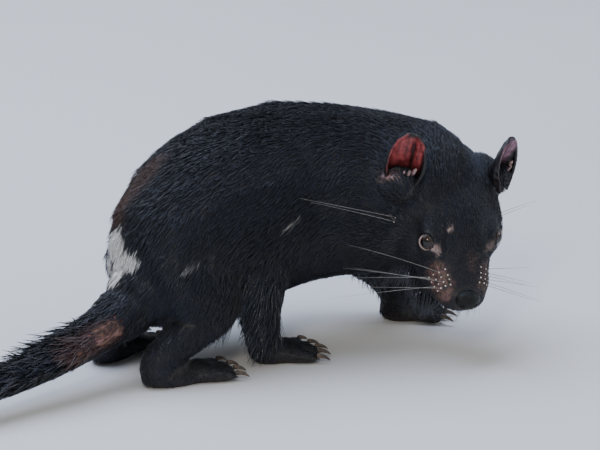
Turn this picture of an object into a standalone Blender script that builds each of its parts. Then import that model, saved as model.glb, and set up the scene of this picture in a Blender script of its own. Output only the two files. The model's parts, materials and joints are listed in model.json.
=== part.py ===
"""Tasmanian devil, a still, life-size model of the whole animal, crouched on its four feet.

The trunk runs along +X, the head is turned to -Y and lowered, and Z is up from the floor.
The body is modelled whole as overlapping lofts, fused and smoothed, and then parted into its
named pieces by thin disc cuts. Ears, eyes, nose pad and claws are made apart and seated on it.
"""

import math
import random

import bmesh
import bpy
from mathutils import Matrix, Vector
from mathutils.bvhtree import BVHTree

MM = 0.001
GAP = 0.32 * MM
SEAT_GAP = 0.45 * MM
FUSE_VOXEL = 3.2 * MM
SMOOTH_STEPS = 6
COARSE_SHARE = 0.132
HEAD_DETAIL_RADIUS = 92 * MM
FLOOR_DEPTH = 60 * MM

# The head in its own frame: x to the nose, y to the animal's left, z to the crown.
HEAD_PLACE = Vector((247, -84, 132)) * MM
HEAD_YAW = math.radians(-102)
HEAD_PITCH = math.radians(42)
HEAD_ROLL = math.radians(-4)

EYE_RADIUS = 8.6 * MM
EYE_CENTRE = Vector((48, 28, 8)) * MM
EYE_AXIS = Vector((0.56, 0.73, 0.38))
LID_RADIUS = 7.9 * MM
LID_THICK = 1.9 * MM
SOCKET_TURN = math.radians(17)
NOSE_CENTRE = Vector((95, 0, -12.5)) * MM

EAR_HEIGHT = 44 * MM
EAR_WIDTH = 32 * MM
EAR_WALL = 2.6 * MM

CLAW_LENGTH = 13 * MM
CLAW_RADIUS = 2.3 * MM

# Each trunk station: centre x, y, z, half width, half height up, half height down, in millimetres.
TRUNK = (
    (4, -20, 72, 36, 34, 32),
    (24, -13, 92, 54, 58, 54),
    (58, -3, 108, 68, 72, 72),
    (98, 1, 120, 73, 79, 79),
    (138, -5, 126, 70, 79, 76),
    (171, -19, 130, 63, 74, 74),
    (203, -38, 132, 59, 67, 73),
    (232, -58, 132, 55, 60, 70),
)
TAIL = (
    (6, -20, 74, 30, 28, 26),
    (-14, -24, 63, 26, 24, 24),
    (-38, -29, 52, 22, 20, 20),
    (-62, -35, 44, 19, 18, 17),
    (-92, -42, 37, 17, 16, 15),
    (-128, -51, 31, 15, 13.5, 13),
    (-166, -59, 26, 12.5, 11.5, 11),
    (-200, -65, 22, 10, 9.5, 9),
    (-226, -70, 20, 7, 6.5, 6.5),
)
# Each leg station: centre x, y, z, half width across the leg, half depth to the front and to the rear.
RIGHT_FORELEG = (
    (112, -32, 124, 34, 40, 40),
    (104, -40, 98, 27, 33, 34),
    (94, -45, 74, 22, 25, 26),
    (91, -47, 48, 18, 19, 20),
    (93, -48, 26, 15, 15, 16),
    (97, -48, 10, 16, 15, 14),
)
LEFT_FORELEG = (
    (166, 12, 116, 34, 40, 38),
    (182, 20, 96, 28, 33, 32),
    (199, 20, 79, 24, 26, 25),
    (219, 12, 60, 21, 20, 21),
    (238, 1, 42, 18, 17, 17),
    (248, -8, 24, 15, 16, 15),
    (248, -9, 10, 16, 14, 14),
)
RIGHT_HINDLEG = (
    (26, -40, 92, 28, 42, 36),
    (34, -51, 76, 25, 37, 34),
    (46, -55, 60, 21, 23, 25),
    (24, -57, 42, 17, 17, 18),
    (-2, -57, 28, 14, 15, 15),
    (-13, -57, 16, 13, 16, 13),
)
LEFT_HINDLEG = (
    (20, 18, 92, 28, 40, 32),
    (24, 33, 76, 25, 35, 31),
    (32, 41, 60, 21, 23, 25),
    (10, 31, 42, 17, 17, 18),
    (-13, 19, 28, 14, 15, 15),
    (-24, 15, 16, 13, 16, 13),
)
# Each foot: name, middle of the sole, heading in degrees from +X, sole length and width, number of toes.
FEET = (
    ("forefoot_right", (104, -49), -10, 40, 33, 5),
    ("forefoot_left", (252, -11), -22, 40, 33, 5),
    ("hindfoot_right", (8, -58), -4, 66, 30, 4),
    ("hindfoot_left", (-5, 25), 25, 66, 30, 4),
)
TOE_LENGTH = 17 * MM
TOE_RADIUS = 5.6 * MM
TOE_FAN = math.radians(13)

# Each head station: x along the head, half width, top and bottom, in millimetres.
SKULL = (
    (-26, 37, 15, -42),
    (-12, 47, 26, -50),
    (6, 49, 27, -52),
    (25, 47.5, 24, -50),
    (40, 41, 17, -47),
    (53, 33, 9, -44),
    (66, 28.5, 2, -41),
    (79, 25.5, -3, -37),
    (89, 20, -7, -31),
)
CHEEK = ((20, 31, -14), (33, 19, 26))
BROW = ((40, 25, 14), (14, 11, 6))
ORBIT = ((46, 25, 4), (16, 10.5, 12))
WHISKER_PAD = ((72, 13, -17), (19, 13.5, 13))
EAR_MOUND = ((-8, 33, 12), (22, 17, 15))
CHIN = ((62, 0, -35), (24, 17, 11))
JOWL = ((50, 13, -42), (25, 15, 15))
# The muscle of the nape, in the animal's own place.
NAPE = ((266, -58, 141), (30, 32, 27))

# The wet locks of each node: how many, their length and width in millimetres, how far they
# stand out, as a share of their length, and how far they stay from the node's upper cut.
LOCKS = {
    "tail_root": (9, 17, 5.0, 0.30, 27),
    "tail_middle": (18, 24, 5.6, 0.34, 9),
    "tail_end": (17, 24, 5.2, 0.30, 9),
    "foreleg_right": (9, 15, 4.6, 0.42, 10.5),
}
LOCK_ROOT = 3.0 * MM
LOCK_SEED = 12

# The thin cuts in their order: the piece cut, the name of the piece freed, centre, direction
# through the cut, radius, in millimetres.
CUTS = (
    ("torso", "forefoot_right", (95, -48, 19), (0, 0, -1), 27),
    ("torso", "forefoot_left", (242, -4, 19), (0, 0, -1), 27),
    ("torso", "hindfoot_right", (-3.5, -57, 19), (0, 0, -1), 30),
    ("torso", "hindfoot_left", (-15.5, 17, 19), (0, 0, -1), 30),
    ("torso", "hindleg_right", (33, -57, 50), (-0.05, -0.5, -0.86), 37),
    ("torso", "hindleg_left", (14.5, 35.5, 48.9), (-0.05, 0.5, -0.86), 60),
    ("torso", "foreleg_right", (91, -47, 49), (0, -0.5, -0.87), 30),
    ("torso", "foreleg_left", (226, 8, 54), (0.65, -0.38, -0.66), 29),
    ("torso", "tail_end", (-166, -59, 26), (-0.97, -0.2, -0.11), 24),
    ("torso", "tail_middle", (-92, -42, 37), (-0.95, -0.25, -0.17), 30),
    ("torso", "tail_root", (-36, -28.5, 53), (-0.88, -0.2, -0.42), 33),
    ("torso", "neck", (206, -40, 135), (0.74, -0.67, 0), 85),
    ("neck", "head", (246, -58, 148), (0.1, -0.96, -0.26), 120),
)
SEED_DEPTH = 12 * MM

COLOURS = {
    "coat": (0.012, 0.012, 0.014),
    "ear_skin": (0.42, 0.08, 0.07),
    "nose": (0.02, 0.02, 0.022),
    "eye": (0.03, 0.015, 0.01),
    "claw": (0.32, 0.27, 0.20),
    "foot_skin": (0.03, 0.022, 0.022),
}
ROUGHNESS = {
    "coat": 0.55,
    "ear_skin": 0.5,
    "nose": 0.35,
    "eye": 0.05,
    "claw": 0.4,
    "foot_skin": 0.7,
}


def clear_scene():
    """Removes whatever the scene holds."""
    for obj in list(bpy.data.objects):
        bpy.data.objects.remove(obj)


def finish(name):
    """The material of one finish, made the first time that it is asked for."""
    found = bpy.data.materials.get(name)
    if found:
        return found
    made = bpy.data.materials.new(name)
    made.use_nodes = True
    shader = made.node_tree.nodes["Principled BSDF"]
    shader.inputs["Base Color"].default_value = (*COLOURS[name], 1)
    shader.inputs["Roughness"].default_value = ROUGHNESS[name]
    shader.inputs["Metallic"].default_value = 0
    return made


def new_object(name, mesh, material="coat"):
    """A linked object of that mesh, with its finish."""
    obj = bpy.data.objects.new(name, mesh)
    bpy.context.scene.collection.objects.link(obj)
    mesh.materials.clear()
    mesh.materials.append(finish(material))
    return obj


def object_from_faces(name, points, faces, material="coat"):
    """An object whose faces all point out."""
    mesh = bpy.data.meshes.new(name)
    mesh.from_pydata([tuple(p) for p in points], [], faces)
    bm = bmesh.new()
    bm.from_mesh(mesh)
    bmesh.ops.recalc_face_normals(bm, faces=bm.faces)
    bm.to_mesh(mesh)
    bm.free()
    return new_object(name, mesh, material)


def apply_modifiers(obj):
    """Makes the object's mesh what its modifiers make of it."""
    graph = bpy.context.evaluated_depsgraph_get()
    graph.update()
    mesh = bpy.data.meshes.new_from_object(obj.evaluated_get(graph))
    obj.modifiers.clear()
    old = obj.data
    obj.data = mesh
    bpy.data.meshes.remove(old)


def boolean(obj, other, operation, solver="EXACT"):
    """Cuts obj by other, or joins them, and removes other."""
    cut = obj.modifiers.new("boolean", "BOOLEAN")
    cut.operation = operation
    cut.solver = solver
    cut.object = other
    apply_modifiers(obj)
    bpy.data.objects.remove(other)
    return obj


def loose_pieces(mesh):
    """The mesh's closed surfaces, as lists of face indices, largest box first."""
    neighbours = {}
    for face in mesh.polygons:
        for corner in face.vertices:
            neighbours.setdefault(corner, []).append(face.index)
    unseen = set(range(len(mesh.polygons)))
    pieces = []
    while unseen:
        stack = [unseen.pop()]
        piece = []
        while stack:
            index = stack.pop()
            piece.append(index)
            for corner in mesh.polygons[index].vertices:
                for other in neighbours[corner]:
                    if other in unseen:
                        unseen.discard(other)
                        stack.append(other)
        pieces.append(piece)

    def reach(piece):
        points = [mesh.vertices[v].co for f in piece for v in mesh.polygons[f].vertices]
        spans = [max(p[k] for p in points) - min(p[k] for p in points) for k in range(3)]
        return sum(spans)

    return sorted(pieces, key=reach, reverse=True)


def mesh_of_faces(mesh, piece, name):
    """A new mesh of only those faces."""
    used = sorted({v for f in piece for v in mesh.polygons[f].vertices})
    index = {v: i for i, v in enumerate(used)}
    made = bpy.data.meshes.new(name)
    made.from_pydata(
        [mesh.vertices[v].co.copy() for v in used],
        [],
        [[index[v] for v in mesh.polygons[f].vertices] for f in sorted(piece)],
    )
    return made


def keep_largest(obj):
    """Leaves the object its largest closed surface."""
    pieces = loose_pieces(obj.data)
    if len(pieces) > 1:
        old = obj.data
        made = mesh_of_faces(old, pieces[0], obj.name)
        made.materials.append(old.materials[0])
        obj.data = made
        bpy.data.meshes.remove(old)
    return obj


def copy_of(obj, name="copy"):
    """A separate copy of the object."""
    made = bpy.data.objects.new(name, obj.data.copy())
    bpy.context.scene.collection.objects.link(made)
    return made


def grown(obj, by=SEAT_GAP):
    """A copy of the object whose surface stands out by that much."""
    made = copy_of(obj)
    bm = bmesh.new()
    bm.from_mesh(made.data)
    bmesh.ops.triangulate(bm, faces=bm.faces)
    bm.normal_update()
    shifts = [v.normal * by for v in bm.verts]
    for vert, shift in zip(bm.verts, shifts):
        vert.co += shift
    bm.to_mesh(made.data)
    bm.free()
    return made


def repainted(obj, material):
    """Gives the object that one finish."""
    obj.data.materials.clear()
    obj.data.materials.append(finish(material))
    return obj


def seat(piece, carrier):
    """Cuts the piece back so that it meets the carrier face to face."""
    boolean(piece, grown(carrier), "DIFFERENCE")
    return keep_largest(piece)


def eased(stations, steps):
    """Stations with smooth ones put between them, by Catmull-Rom curves through every value."""
    rows = [tuple(float(v) for v in row) for row in stations]
    ends = [rows[0]] + rows + [rows[-1]]
    made = []
    for k in range(1, len(ends) - 2):
        a, b, c, d = ends[k - 1], ends[k], ends[k + 1], ends[k + 2]
        for s in range(steps):
            t = s / steps
            made.append(
                tuple(
                    0.5
                    * (
                        2 * q
                        + (r - p) * t
                        + (2 * p - 5 * q + 4 * r - w) * t * t
                        + (3 * q - p - 3 * r + w) * t**3
                    )
                    for p, q, r, w in zip(a, b, c, d)
                )
            )
    made.append(rows[-1])
    return made


def loft(name, stations, reference, sides=24, steps=3, power=2.15):
    """A closed tube through the stations, with rounded ends.

    A station is centre, half width, half height on the reference's side and on the other side."""
    rows = eased(stations, steps)
    centres = [Vector(r[:3]) * MM for r in rows]
    points, faces = [], []

    def add_ring(centre, tangent, wide, high, low, shrink=1.0):
        side = tangent.cross(reference).normalized()
        up = side.cross(tangent).normalized()
        for k in range(sides):
            angle = 2 * math.pi * k / sides
            c, s = math.cos(angle), math.sin(angle)
            x = math.copysign(abs(c) ** (2 / power), c) * wide
            y = math.copysign(abs(s) ** (2 / power), s) * (high if s > 0 else low)
            points.append(centre + (side * x + up * y) * MM * shrink)

    tangents = []
    for k in range(len(rows)):
        a, b = centres[max(k - 1, 0)], centres[min(k + 1, len(rows) - 1)]
        tangents.append((b - a).normalized())
    first, last = rows[0], rows[-1]
    caps = ((0.35, 0.94), (0.7, 0.72), (0.92, 0.4))
    for out, shrink in reversed(caps):
        centre = centres[0] - tangents[0] * (min(first[3:]) * out * MM)
        add_ring(centre, tangents[0], *first[3:], shrink)
    for centre, tangent, row in zip(centres, tangents, rows):
        add_ring(centre, tangent, *row[3:])
    for out, shrink in caps:
        centre = centres[-1] + tangents[-1] * (min(last[3:]) * out * MM)
        add_ring(centre, tangents[-1], *last[3:], shrink)
    rings = len(points) // sides
    for r in range(rings - 1):
        for k in range(sides):
            a, b = r * sides + k, r * sides + (k + 1) % sides
            faces.append((a, b, b + sides, a + sides))
    faces.append(list(range(sides)))
    faces.append([(rings - 1) * sides + k for k in range(sides)])
    return object_from_faces(name, points, faces)


def blob(name, centre, radii, turn=None, segments=20):
    """An ellipsoid of those half sizes, in millimetres."""
    bm = bmesh.new()
    bmesh.ops.create_uvsphere(bm, u_segments=segments, v_segments=segments // 2 + 1, radius=MM)
    bmesh.ops.scale(bm, vec=Vector(radii), verts=bm.verts)
    if turn is not None:
        bmesh.ops.transform(bm, matrix=turn.to_4x4(), verts=bm.verts)
    bmesh.ops.translate(bm, vec=Vector(centre) * MM, verts=bm.verts)
    mesh = bpy.data.meshes.new(name)
    bm.to_mesh(mesh)
    bm.free()
    return new_object(name, mesh)


def head_turn():
    """The head's rotation from its own frame to the model's."""
    yaw = Matrix.Rotation(HEAD_YAW, 3, "Z")
    pitch = Matrix.Rotation(HEAD_PITCH, 3, "Y")
    roll = Matrix.Rotation(HEAD_ROLL, 3, "X")
    return yaw @ pitch @ roll


def head_matrix():
    """The head's place and rotation."""
    return Matrix.Translation(HEAD_PLACE) @ head_turn().to_4x4()


def to_head(obj):
    """Moves a piece modelled in the head's frame to the head's place."""
    obj.data.transform(head_matrix())
    return obj


def head_pieces():
    """The skull, muzzle, cheeks, brows, whisker pads, jowls and chin, in place."""
    rows = []
    for x, wide, top, low in SKULL:
        half = (top - low) / 2
        rows.append((x, 0, (top + low) / 2, wide, half, half))
    made = [loft("skull", rows, Vector((0, 0, 1)), sides=28, power=2.4)]
    for side in (1, -1):
        for centre, radii in (CHEEK, BROW, ORBIT, WHISKER_PAD, EAR_MOUND, JOWL):
            x, y, z = centre
            made.append(blob("muscle", (x, y * side, z), radii))
    made.append(blob("chin", *CHIN))
    return [to_head(obj) for obj in made]


def foot_pieces(place, heading, length, width, toes):
    """The pad and toes of one foot, flat on the floor once cut."""
    turn = Matrix.Rotation(math.radians(heading), 3, "Z")
    ahead = turn @ Vector((1, 0, 0))
    middle = Vector((place[0], place[1], 0))
    made = [blob("pad", middle + Vector((0, 0, 6)), (length / 2, width / 2, 9.5), turn)]
    for root, direction in toe_roots(place, heading, length, width, toes):
        tip = root + direction * TOE_LENGTH
        rows = [
            (*(p / MM), r / MM, r / MM, r / MM)
            for p, r in (
                (root - direction * TOE_LENGTH * 0.5, TOE_RADIUS * 1.15),
                (root + direction * TOE_LENGTH * 0.35, TOE_RADIUS * 1.05),
                (tip - Vector((0, 0, 1.6 * MM)), TOE_RADIUS * 0.86),
            )
        ]
        made.append(loft("toe", rows, Vector((0, 0, 1)), sides=12, steps=2))
    ball_of_foot = middle + ahead * length * 0.28 + Vector((0, 0, 8))
    made.append(blob("ball", ball_of_foot, (15, width / 2, 9), turn))
    return made


def toe_roots(place, heading, length, width, toes):
    """Where each toe starts and which way it points."""
    turn = Matrix.Rotation(math.radians(heading), 3, "Z")
    found = []
    for k in range(toes):
        across = k - (toes - 1) / 2
        reach = length * 0.44 - abs(across) ** 1.6 * 1.6
        local = Vector((reach, -across * width / toes * 1.12, 6.2))
        fan = Matrix.Rotation(-across * TOE_FAN, 3, "Z")
        root = Vector((place[0], place[1], 0)) * MM + turn @ local * MM
        found.append((root, turn @ fan @ Vector((1, 0, 0))))
    return found


def joined(name, pieces):
    """One object that holds all the pieces, still overlapping."""
    bm = bmesh.new()
    for obj in pieces:
        bm.from_mesh(obj.data)
        bpy.data.objects.remove(obj)
    mesh = bpy.data.meshes.new(name)
    bm.to_mesh(mesh)
    bm.free()
    return new_object(name, mesh)


def fused(obj):
    """Fuses overlapping pieces into one smooth skin, finest at the head and feet."""
    remesh = obj.modifiers.new("fuse", "REMESH")
    remesh.mode = "VOXEL"
    remesh.voxel_size = FUSE_VOXEL
    remesh.adaptivity = 0
    apply_modifiers(obj)
    smooth = obj.modifiers.new("smooth", "SMOOTH")
    smooth.factor = 0.5
    smooth.iterations = SMOOTH_STEPS
    apply_modifiers(obj)
    group = obj.vertex_groups.new(name="coarse")
    head = HEAD_PLACE + head_turn() @ Vector((30, 0, -8)) * MM
    for vertex in obj.data.vertices:
        near_head = (vertex.co - head).length < HEAD_DETAIL_RADIUS
        near_floor = vertex.co.z < 24 * MM
        on_leg = vertex.co.z < 84 * MM
        weight = 0.74 if near_head else 0.84 if near_floor else 0.9 if on_leg else 1.0
        group.add([vertex.index], weight, "REPLACE")
    thin = obj.modifiers.new("thin", "DECIMATE")
    thin.ratio = COARSE_SHARE
    thin.vertex_group = "coarse"
    apply_modifiers(obj)
    obj.vertex_groups.clear()
    return keep_largest(obj)


def box(name, low, high):
    """A box between two corners."""
    bm = bmesh.new()
    bmesh.ops.create_cube(bm, size=1)
    bmesh.ops.scale(bm, vec=Vector(high) - Vector(low), verts=bm.verts)
    bmesh.ops.translate(bm, vec=(Vector(high) + Vector(low)) / 2, verts=bm.verts)
    mesh = bpy.data.meshes.new(name)
    bm.to_mesh(mesh)
    bm.free()
    return new_object(name, mesh)


def disc(name, centre, direction, radius, thick=GAP):
    """A thin round cutter."""
    bm = bmesh.new()
    bmesh.ops.create_cone(
        bm, cap_ends=True, segments=40, radius1=radius, radius2=radius, depth=thick
    )
    turn = Vector(direction).to_track_quat("Z", "Y").to_matrix().to_4x4()
    bmesh.ops.transform(bm, matrix=Matrix.Translation(centre) @ turn, verts=bm.verts)
    mesh = bpy.data.meshes.new(name)
    bm.to_mesh(mesh)
    bm.free()
    return new_object(name, mesh)


def whole_body():
    """The animal without ears, eyes, nose pad and claws, as one closed skin."""
    up = Vector((0, 0, 1))
    ahead = Vector((1, 0, 0))
    pieces = [loft("trunk", TRUNK, up, sides=32), loft("tail", TAIL, up, sides=20)]
    for rows in (RIGHT_FORELEG, LEFT_FORELEG, RIGHT_HINDLEG, LEFT_HINDLEG):
        pieces.append(loft("leg", rows, ahead, sides=20))
    for _, *foot in FEET:
        pieces += foot_pieces(*foot)
    pieces += head_pieces()
    pieces.append(blob("nape", *NAPE))
    body = fused(joined("body", pieces))
    reach = 1.0
    ground = box("ground", (-reach, -reach, -FLOOR_DEPTH), (reach, reach, 0))
    return boolean(body, ground, "DIFFERENCE")


def part_body(body):
    """Parts the whole by the thin cuts, one node at a time; what stays is the torso."""
    body.name = "torso"
    nodes = {"torso": body}
    for carrier, name, centre, direction, radius in CUTS:
        place = Vector(centre) * MM
        way = Vector(direction).normalized()
        boolean(nodes[carrier], disc("cut", place, way, radius * MM), "DIFFERENCE")
        nodes[name] = freed(nodes[carrier], name, place + way * SEED_DEPTH)
    return nodes


def freed(body, name, seed):
    """Parts off the closed surface that holds the seed; the body keeps its largest other one."""
    mesh = body.data
    made, kept = None, None
    for piece in loose_pieces(mesh):
        part = mesh_of_faces(mesh, piece, name)
        tree = BVHTree.FromPolygons([v.co for v in part.vertices], [p.vertices for p in part.polygons])
        if made is None and inside(tree, seed):
            made = part
        elif kept is None:
            kept = part
    if made is None or kept is None:
        raise ValueError(f"the cut does not free {name}")
    kept.materials.append(mesh.materials[0])
    body.data = kept
    return new_object(name, made)


def inside(tree, point):
    """Whether the point lies inside a closed mesh."""
    direction = Vector((0.31, 0.22, 0.92)).normalized()
    hits, start = 0, point.copy()
    while True:
        place, _, _, _ = tree.ray_cast(start, direction)
        if place is None:
            return hits % 2 == 1
        hits += 1
        start = place + direction * 1e-6


def eye(side):
    """The middle and the axis of one eye, in the model's frame."""
    centre = Vector((EYE_CENTRE.x, EYE_CENTRE.y * side, EYE_CENTRE.z))
    axis = Vector((EYE_AXIS.x, EYE_AXIS.y * side, EYE_AXIS.z)).normalized()
    return head_matrix() @ centre, head_turn() @ axis


def ball(name, centre, radius, material="eye", segments=16, turn=0.0):
    """A sphere, turned about a slanting axis."""
    bm = bmesh.new()
    bmesh.ops.create_uvsphere(bm, u_segments=segments, v_segments=segments // 2 + 1, radius=radius)
    pole = Vector((0.3, 0.5, 0.8)).normalized()
    bmesh.ops.rotate(bm, matrix=Matrix.Rotation(turn, 3, pole), verts=bm.verts)
    bmesh.ops.translate(bm, vec=centre, verts=bm.verts)
    mesh = bpy.data.meshes.new(name)
    bm.to_mesh(mesh)
    bm.free()
    return new_object(name, mesh, material)


def ring(name, centre, axis, across, radii, thick, sides=20, around=6):
    """An oval ring, whose long way lies along across."""
    up = axis.cross(across).normalized()
    across = up.cross(axis).normalized()
    points, faces = [], []
    for k in range(sides):
        angle = 2 * math.pi * k / sides
        out = across * math.cos(angle) * radii[0] + up * math.sin(angle) * radii[1]
        way = out.normalized()
        for j in range(around):
            turn = 2 * math.pi * j / around
            points.append(centre + out + (way * math.cos(turn) + axis * math.sin(turn)) * thick)
    for k in range(sides):
        for j in range(around):
            a, b = k * around + j, k * around + (j + 1) % around
            c, d = (k + 1) % sides * around + (j + 1) % around, (k + 1) % sides * around + j
            faces.append((a, b, c, d))
    return object_from_faces(name, points, faces)


def path_tube(name, path, radii, sides=8):
    """A closed tube through points of the model's frame."""
    points, faces = [], []
    for k, place in enumerate(path):
        a, b = path[max(k - 1, 0)], path[min(k + 1, len(path) - 1)]
        tangent = (b - a).normalized()
        side = tangent.cross(Vector((0.13, 0.21, 0.97))).normalized()
        up = side.cross(tangent)
        for j in range(sides):
            turn = 2 * math.pi * j / sides
            points.append(place + (side * math.cos(turn) + up * math.sin(turn)) * radii[k])
    for k in range(len(path) - 1):
        for j in range(sides):
            a, b = k * sides + j, k * sides + (j + 1) % sides
            faces.append((a, b, b + sides, a + sides))
    faces.append(list(range(sides)))
    faces.append([(len(path) - 1) * sides + j for j in range(sides)])
    return object_from_faces(name, points, faces)


def on_surface(obj, place):
    """The nearest point of the object's surface, and its normal."""
    found, point, normal, _ = obj.closest_point_on_mesh(place)
    return (point, normal) if found else (place, Vector((0, 0, 1)))


def mouth_line(head, lift=0.0, sink=0.0):
    """Points along the mouth from one corner round the front to the other."""
    found = []
    corner, front = 42, 93
    count = 15
    for k in range(count):
        t = -1 + 2 * k / (count - 1)
        x = corner + (front - corner) * (1 - abs(t) ** 2.2)
        y = 40 * math.copysign(abs(t) ** 0.8, t)
        z = -31 + 7 * abs(t) ** 3 + lift
        place = head_matrix() @ (Vector((x, y, z)) * MM)
        point, normal = on_surface(head, place)
        found.append(point - normal * sink)
    return found


def detail_head(head):
    """Raises the lids and lips and cuts the eye sockets and the mouth line."""
    across = head_turn() @ Vector((0.62, 0, -0.78))
    for side in (1, -1):
        centre, axis = eye(side)
        rim = centre + axis * EYE_RADIUS * 0.52
        oval = (LID_RADIUS * 1.06, LID_RADIUS * 0.84)
        boolean(head, ring("lid", rim, axis, across, oval, LID_THICK), "UNION")
        boolean(head, ball("socket", centre, EYE_RADIUS + GAP, turn=SOCKET_TURN), "DIFFERENCE")
    lips = mouth_line(head, lift=2.6, sink=1.0 * MM)
    swell = [2.3 * MM] * len(lips)
    swell[0] = swell[-1] = 1.2 * MM
    boolean(head, path_tube("lip", lips, swell), "UNION")
    line = mouth_line(head)
    boolean(head, path_tube("mouth", line, [1.0 * MM] * len(line), sides=6), "DIFFERENCE")
    return keep_largest(head)


def nose_pad(head):
    """The bare nose pad with its two nostrils."""
    pad = blob("nose_pad", NOSE_CENTRE / MM, (8.5, 11.5, 8.5), segments=16)
    to_head(pad)
    for side in (1, -1):
        hole = blob("nostril", (104.5, 6.2 * side, -12.5), (5.5, 2.6, 3.0), segments=10)
        boolean(pad, to_head(hole), "DIFFERENCE")
    return repainted(seat(pad, head), "nose")


def ear(name, base, axis, opening, head):
    """One ear, a leaf rolled nearly shut at its root that flattens towards a round tip."""
    axis = axis.normalized()
    opening = (opening - axis * opening.dot(axis)).normalized()
    side = axis.cross(opening)
    rows, columns = 8, 9
    outer, inner = [], []
    for r in range(rows):
        t = r / (rows - 1)
        roundness = math.sqrt(max(1 - ((t - 0.42) / 0.60) ** 2, 0.02))
        wide = EAR_WIDTH / 2 * min(roundness, 0.62 + 1.1 * t)
        depth = EAR_WIDTH * (0.36 - 0.22 * t)
        roll = math.radians(150 - 90 * t)
        for c in range(columns):
            angle = roll * (-1 + 2 * c / (columns - 1))
            out = side * wide * math.sin(angle) / math.sin(min(roll, math.pi / 2))
            back = opening * (-0.10 * EAR_HEIGHT * t * t - depth * math.cos(angle))
            place = base + axis * EAR_HEIGHT * (t - 0.24 * (1 - t)) + out + back
            normal = (side * math.sin(angle) - opening * math.cos(angle)).normalized()
            outer.append(place + normal * EAR_WALL / 2)
            inner.append(place - normal * EAR_WALL / 2)
    faces = []
    shift = rows * columns
    for r in range(rows - 1):
        for c in range(columns - 1):
            a = r * columns + c
            corners = (a, a + 1, a + 1 + columns, a + columns)
            faces.append(corners)
            faces.append(tuple(i + shift for i in reversed(corners)))
    for c in range(columns - 1):
        for a in (c, (rows - 1) * columns + c):
            faces.append((a, a + 1, a + 1 + shift, a + shift))
    for r in range(rows - 1):
        for a in (r * columns, r * columns + columns - 1):
            faces.append((a, a + columns, a + columns + shift, a + shift))
    made = object_from_faces(name, outer + inner, faces)
    return repainted(seat(made, head), "ear_skin")


def claw(name, root, direction):
    """One claw, a tapering hook that bends down to the floor."""
    sides, steps = 6, 5
    across = direction.cross(Vector((0, 0, 1))).normalized()
    points, faces = [], []
    for k in range(steps):
        t = k / (steps - 1)
        bend = math.radians(8 + 38 * t)
        tangent = direction * math.cos(bend) - Vector((0, 0, 1)) * math.sin(bend)
        up = across.cross(tangent).normalized()
        place = root + direction * CLAW_LENGTH * t * (1 - 0.12 * t)
        place = place + Vector((0, 0, 1)) * (1.6 * MM - 4.2 * MM * t * t)
        radius = CLAW_RADIUS * (1 - t) ** 0.7 + 0.28 * MM
        for j in range(sides):
            turn = 2 * math.pi * j / sides
            points.append(place + (across * math.cos(turn) * 0.8 + up * math.sin(turn)) * radius)
    for k in range(steps - 1):
        for j in range(sides):
            a, b = k * sides + j, k * sides + (j + 1) % sides
            faces.append((a, b, b + sides, a + sides))
    faces.append(list(range(sides)))
    faces.append([(steps - 1) * sides + j for j in range(sides)])
    return object_from_faces(name, points, faces, "claw")


def add_claws(feet):
    """A claw on every toe, seated on it."""
    for name, place, heading, length, width, toes in FEET:
        for k, (root, direction) in enumerate(toe_roots(place, heading, length, width, toes)):
            tip = root + direction * (TOE_LENGTH + TOE_RADIUS * 0.35)
            repainted(seat(claw(f"claw_{name}_{k + 1}", tip, direction), feet[name]), "claw")


def lock(root, normal, lie, length, width, lift):
    """One flat, tapered lock that leaves the surface along its lie and curves off it."""
    across = normal.cross(lie).normalized()
    points, faces = [], []
    for share, wide in ((-0.12, 0.8), (0.4, 1.0), (0.78, 0.56)):
        reach = max(share, 0) * length
        height = lift * length * max(share, 0) ** 1.4 - (LOCK_ROOT if share < 0 else 0)
        middle = root + lie * reach + normal * height
        side = across * width * wide / 2
        thick = normal * width * wide * 0.24
        points += [middle - side, middle + thick, middle + side, middle - thick]
    points.append(root + lie * length + normal * lift * length)
    for k in (0, 4):
        for j in range(4):
            a, b = k + j, k + (j + 1) % 4
            faces.append((a, b, b + 4, a + 4))
    faces += [(8 + j, 8 + (j + 1) % 4, 12) for j in range(4)]
    faces.append((3, 2, 1, 0))
    return object_from_faces("lock", points, faces)


def rooted(node, locks):
    """Fuses the locks with the node that they grow from."""
    group = bpy.data.collections.new("locks")
    bpy.context.scene.collection.children.link(group)
    for obj in locks:
        bpy.context.scene.collection.objects.unlink(obj)
        group.objects.link(obj)
    union = node.modifiers.new("locks", "BOOLEAN")
    union.operation = "UNION"
    union.operand_type = "COLLECTION"
    union.collection = group
    union.solver = "EXACT"
    apply_modifiers(node)
    for obj in locks:
        bpy.data.objects.remove(obj)
    bpy.data.collections.remove(group)
    return keep_largest(node)


def tail_locks(name, node, chance):
    """Wet locks over the top and sides of one length of the tail, whose tips stay in that length."""
    count, length, width, lift, clear = LOCKS[name]
    line = [Vector(row[:3]) * MM for row in TAIL]
    low = min(v.co.x for v in node.data.vertices) + (0 if name == "tail_end" else 1.5 * MM)
    high = max(v.co.x for v in node.data.vertices) - clear * MM
    made = []
    for k in range(count):
        reach = length * MM * chance.uniform(0.8, 1.15)
        first = low + (reach * 0.55 if name == "tail_end" else reach)
        x = first + (high - first) * ((k + chance.uniform(0.2, 0.8)) / count)
        after = next(i for i in range(1, len(line)) if line[i].x <= x or i == len(line) - 1)
        way = (line[after] - line[after - 1]).normalized()
        middle = line[after - 1] + way * ((x - line[after - 1].x) / way.x)
        turn = math.radians(-15 + 210 * ((k * 0.618) % 1))
        out = Vector((0, math.cos(turn), math.sin(turn)))
        root, normal = on_surface(node, middle + out * 18 * MM)
        lie = (way - normal * way.dot(normal)).normalized()
        made.append(lock(root, normal, lie, reach, width * MM * chance.uniform(0.8, 1.1), lift))
    return rooted(node, made)


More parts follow.
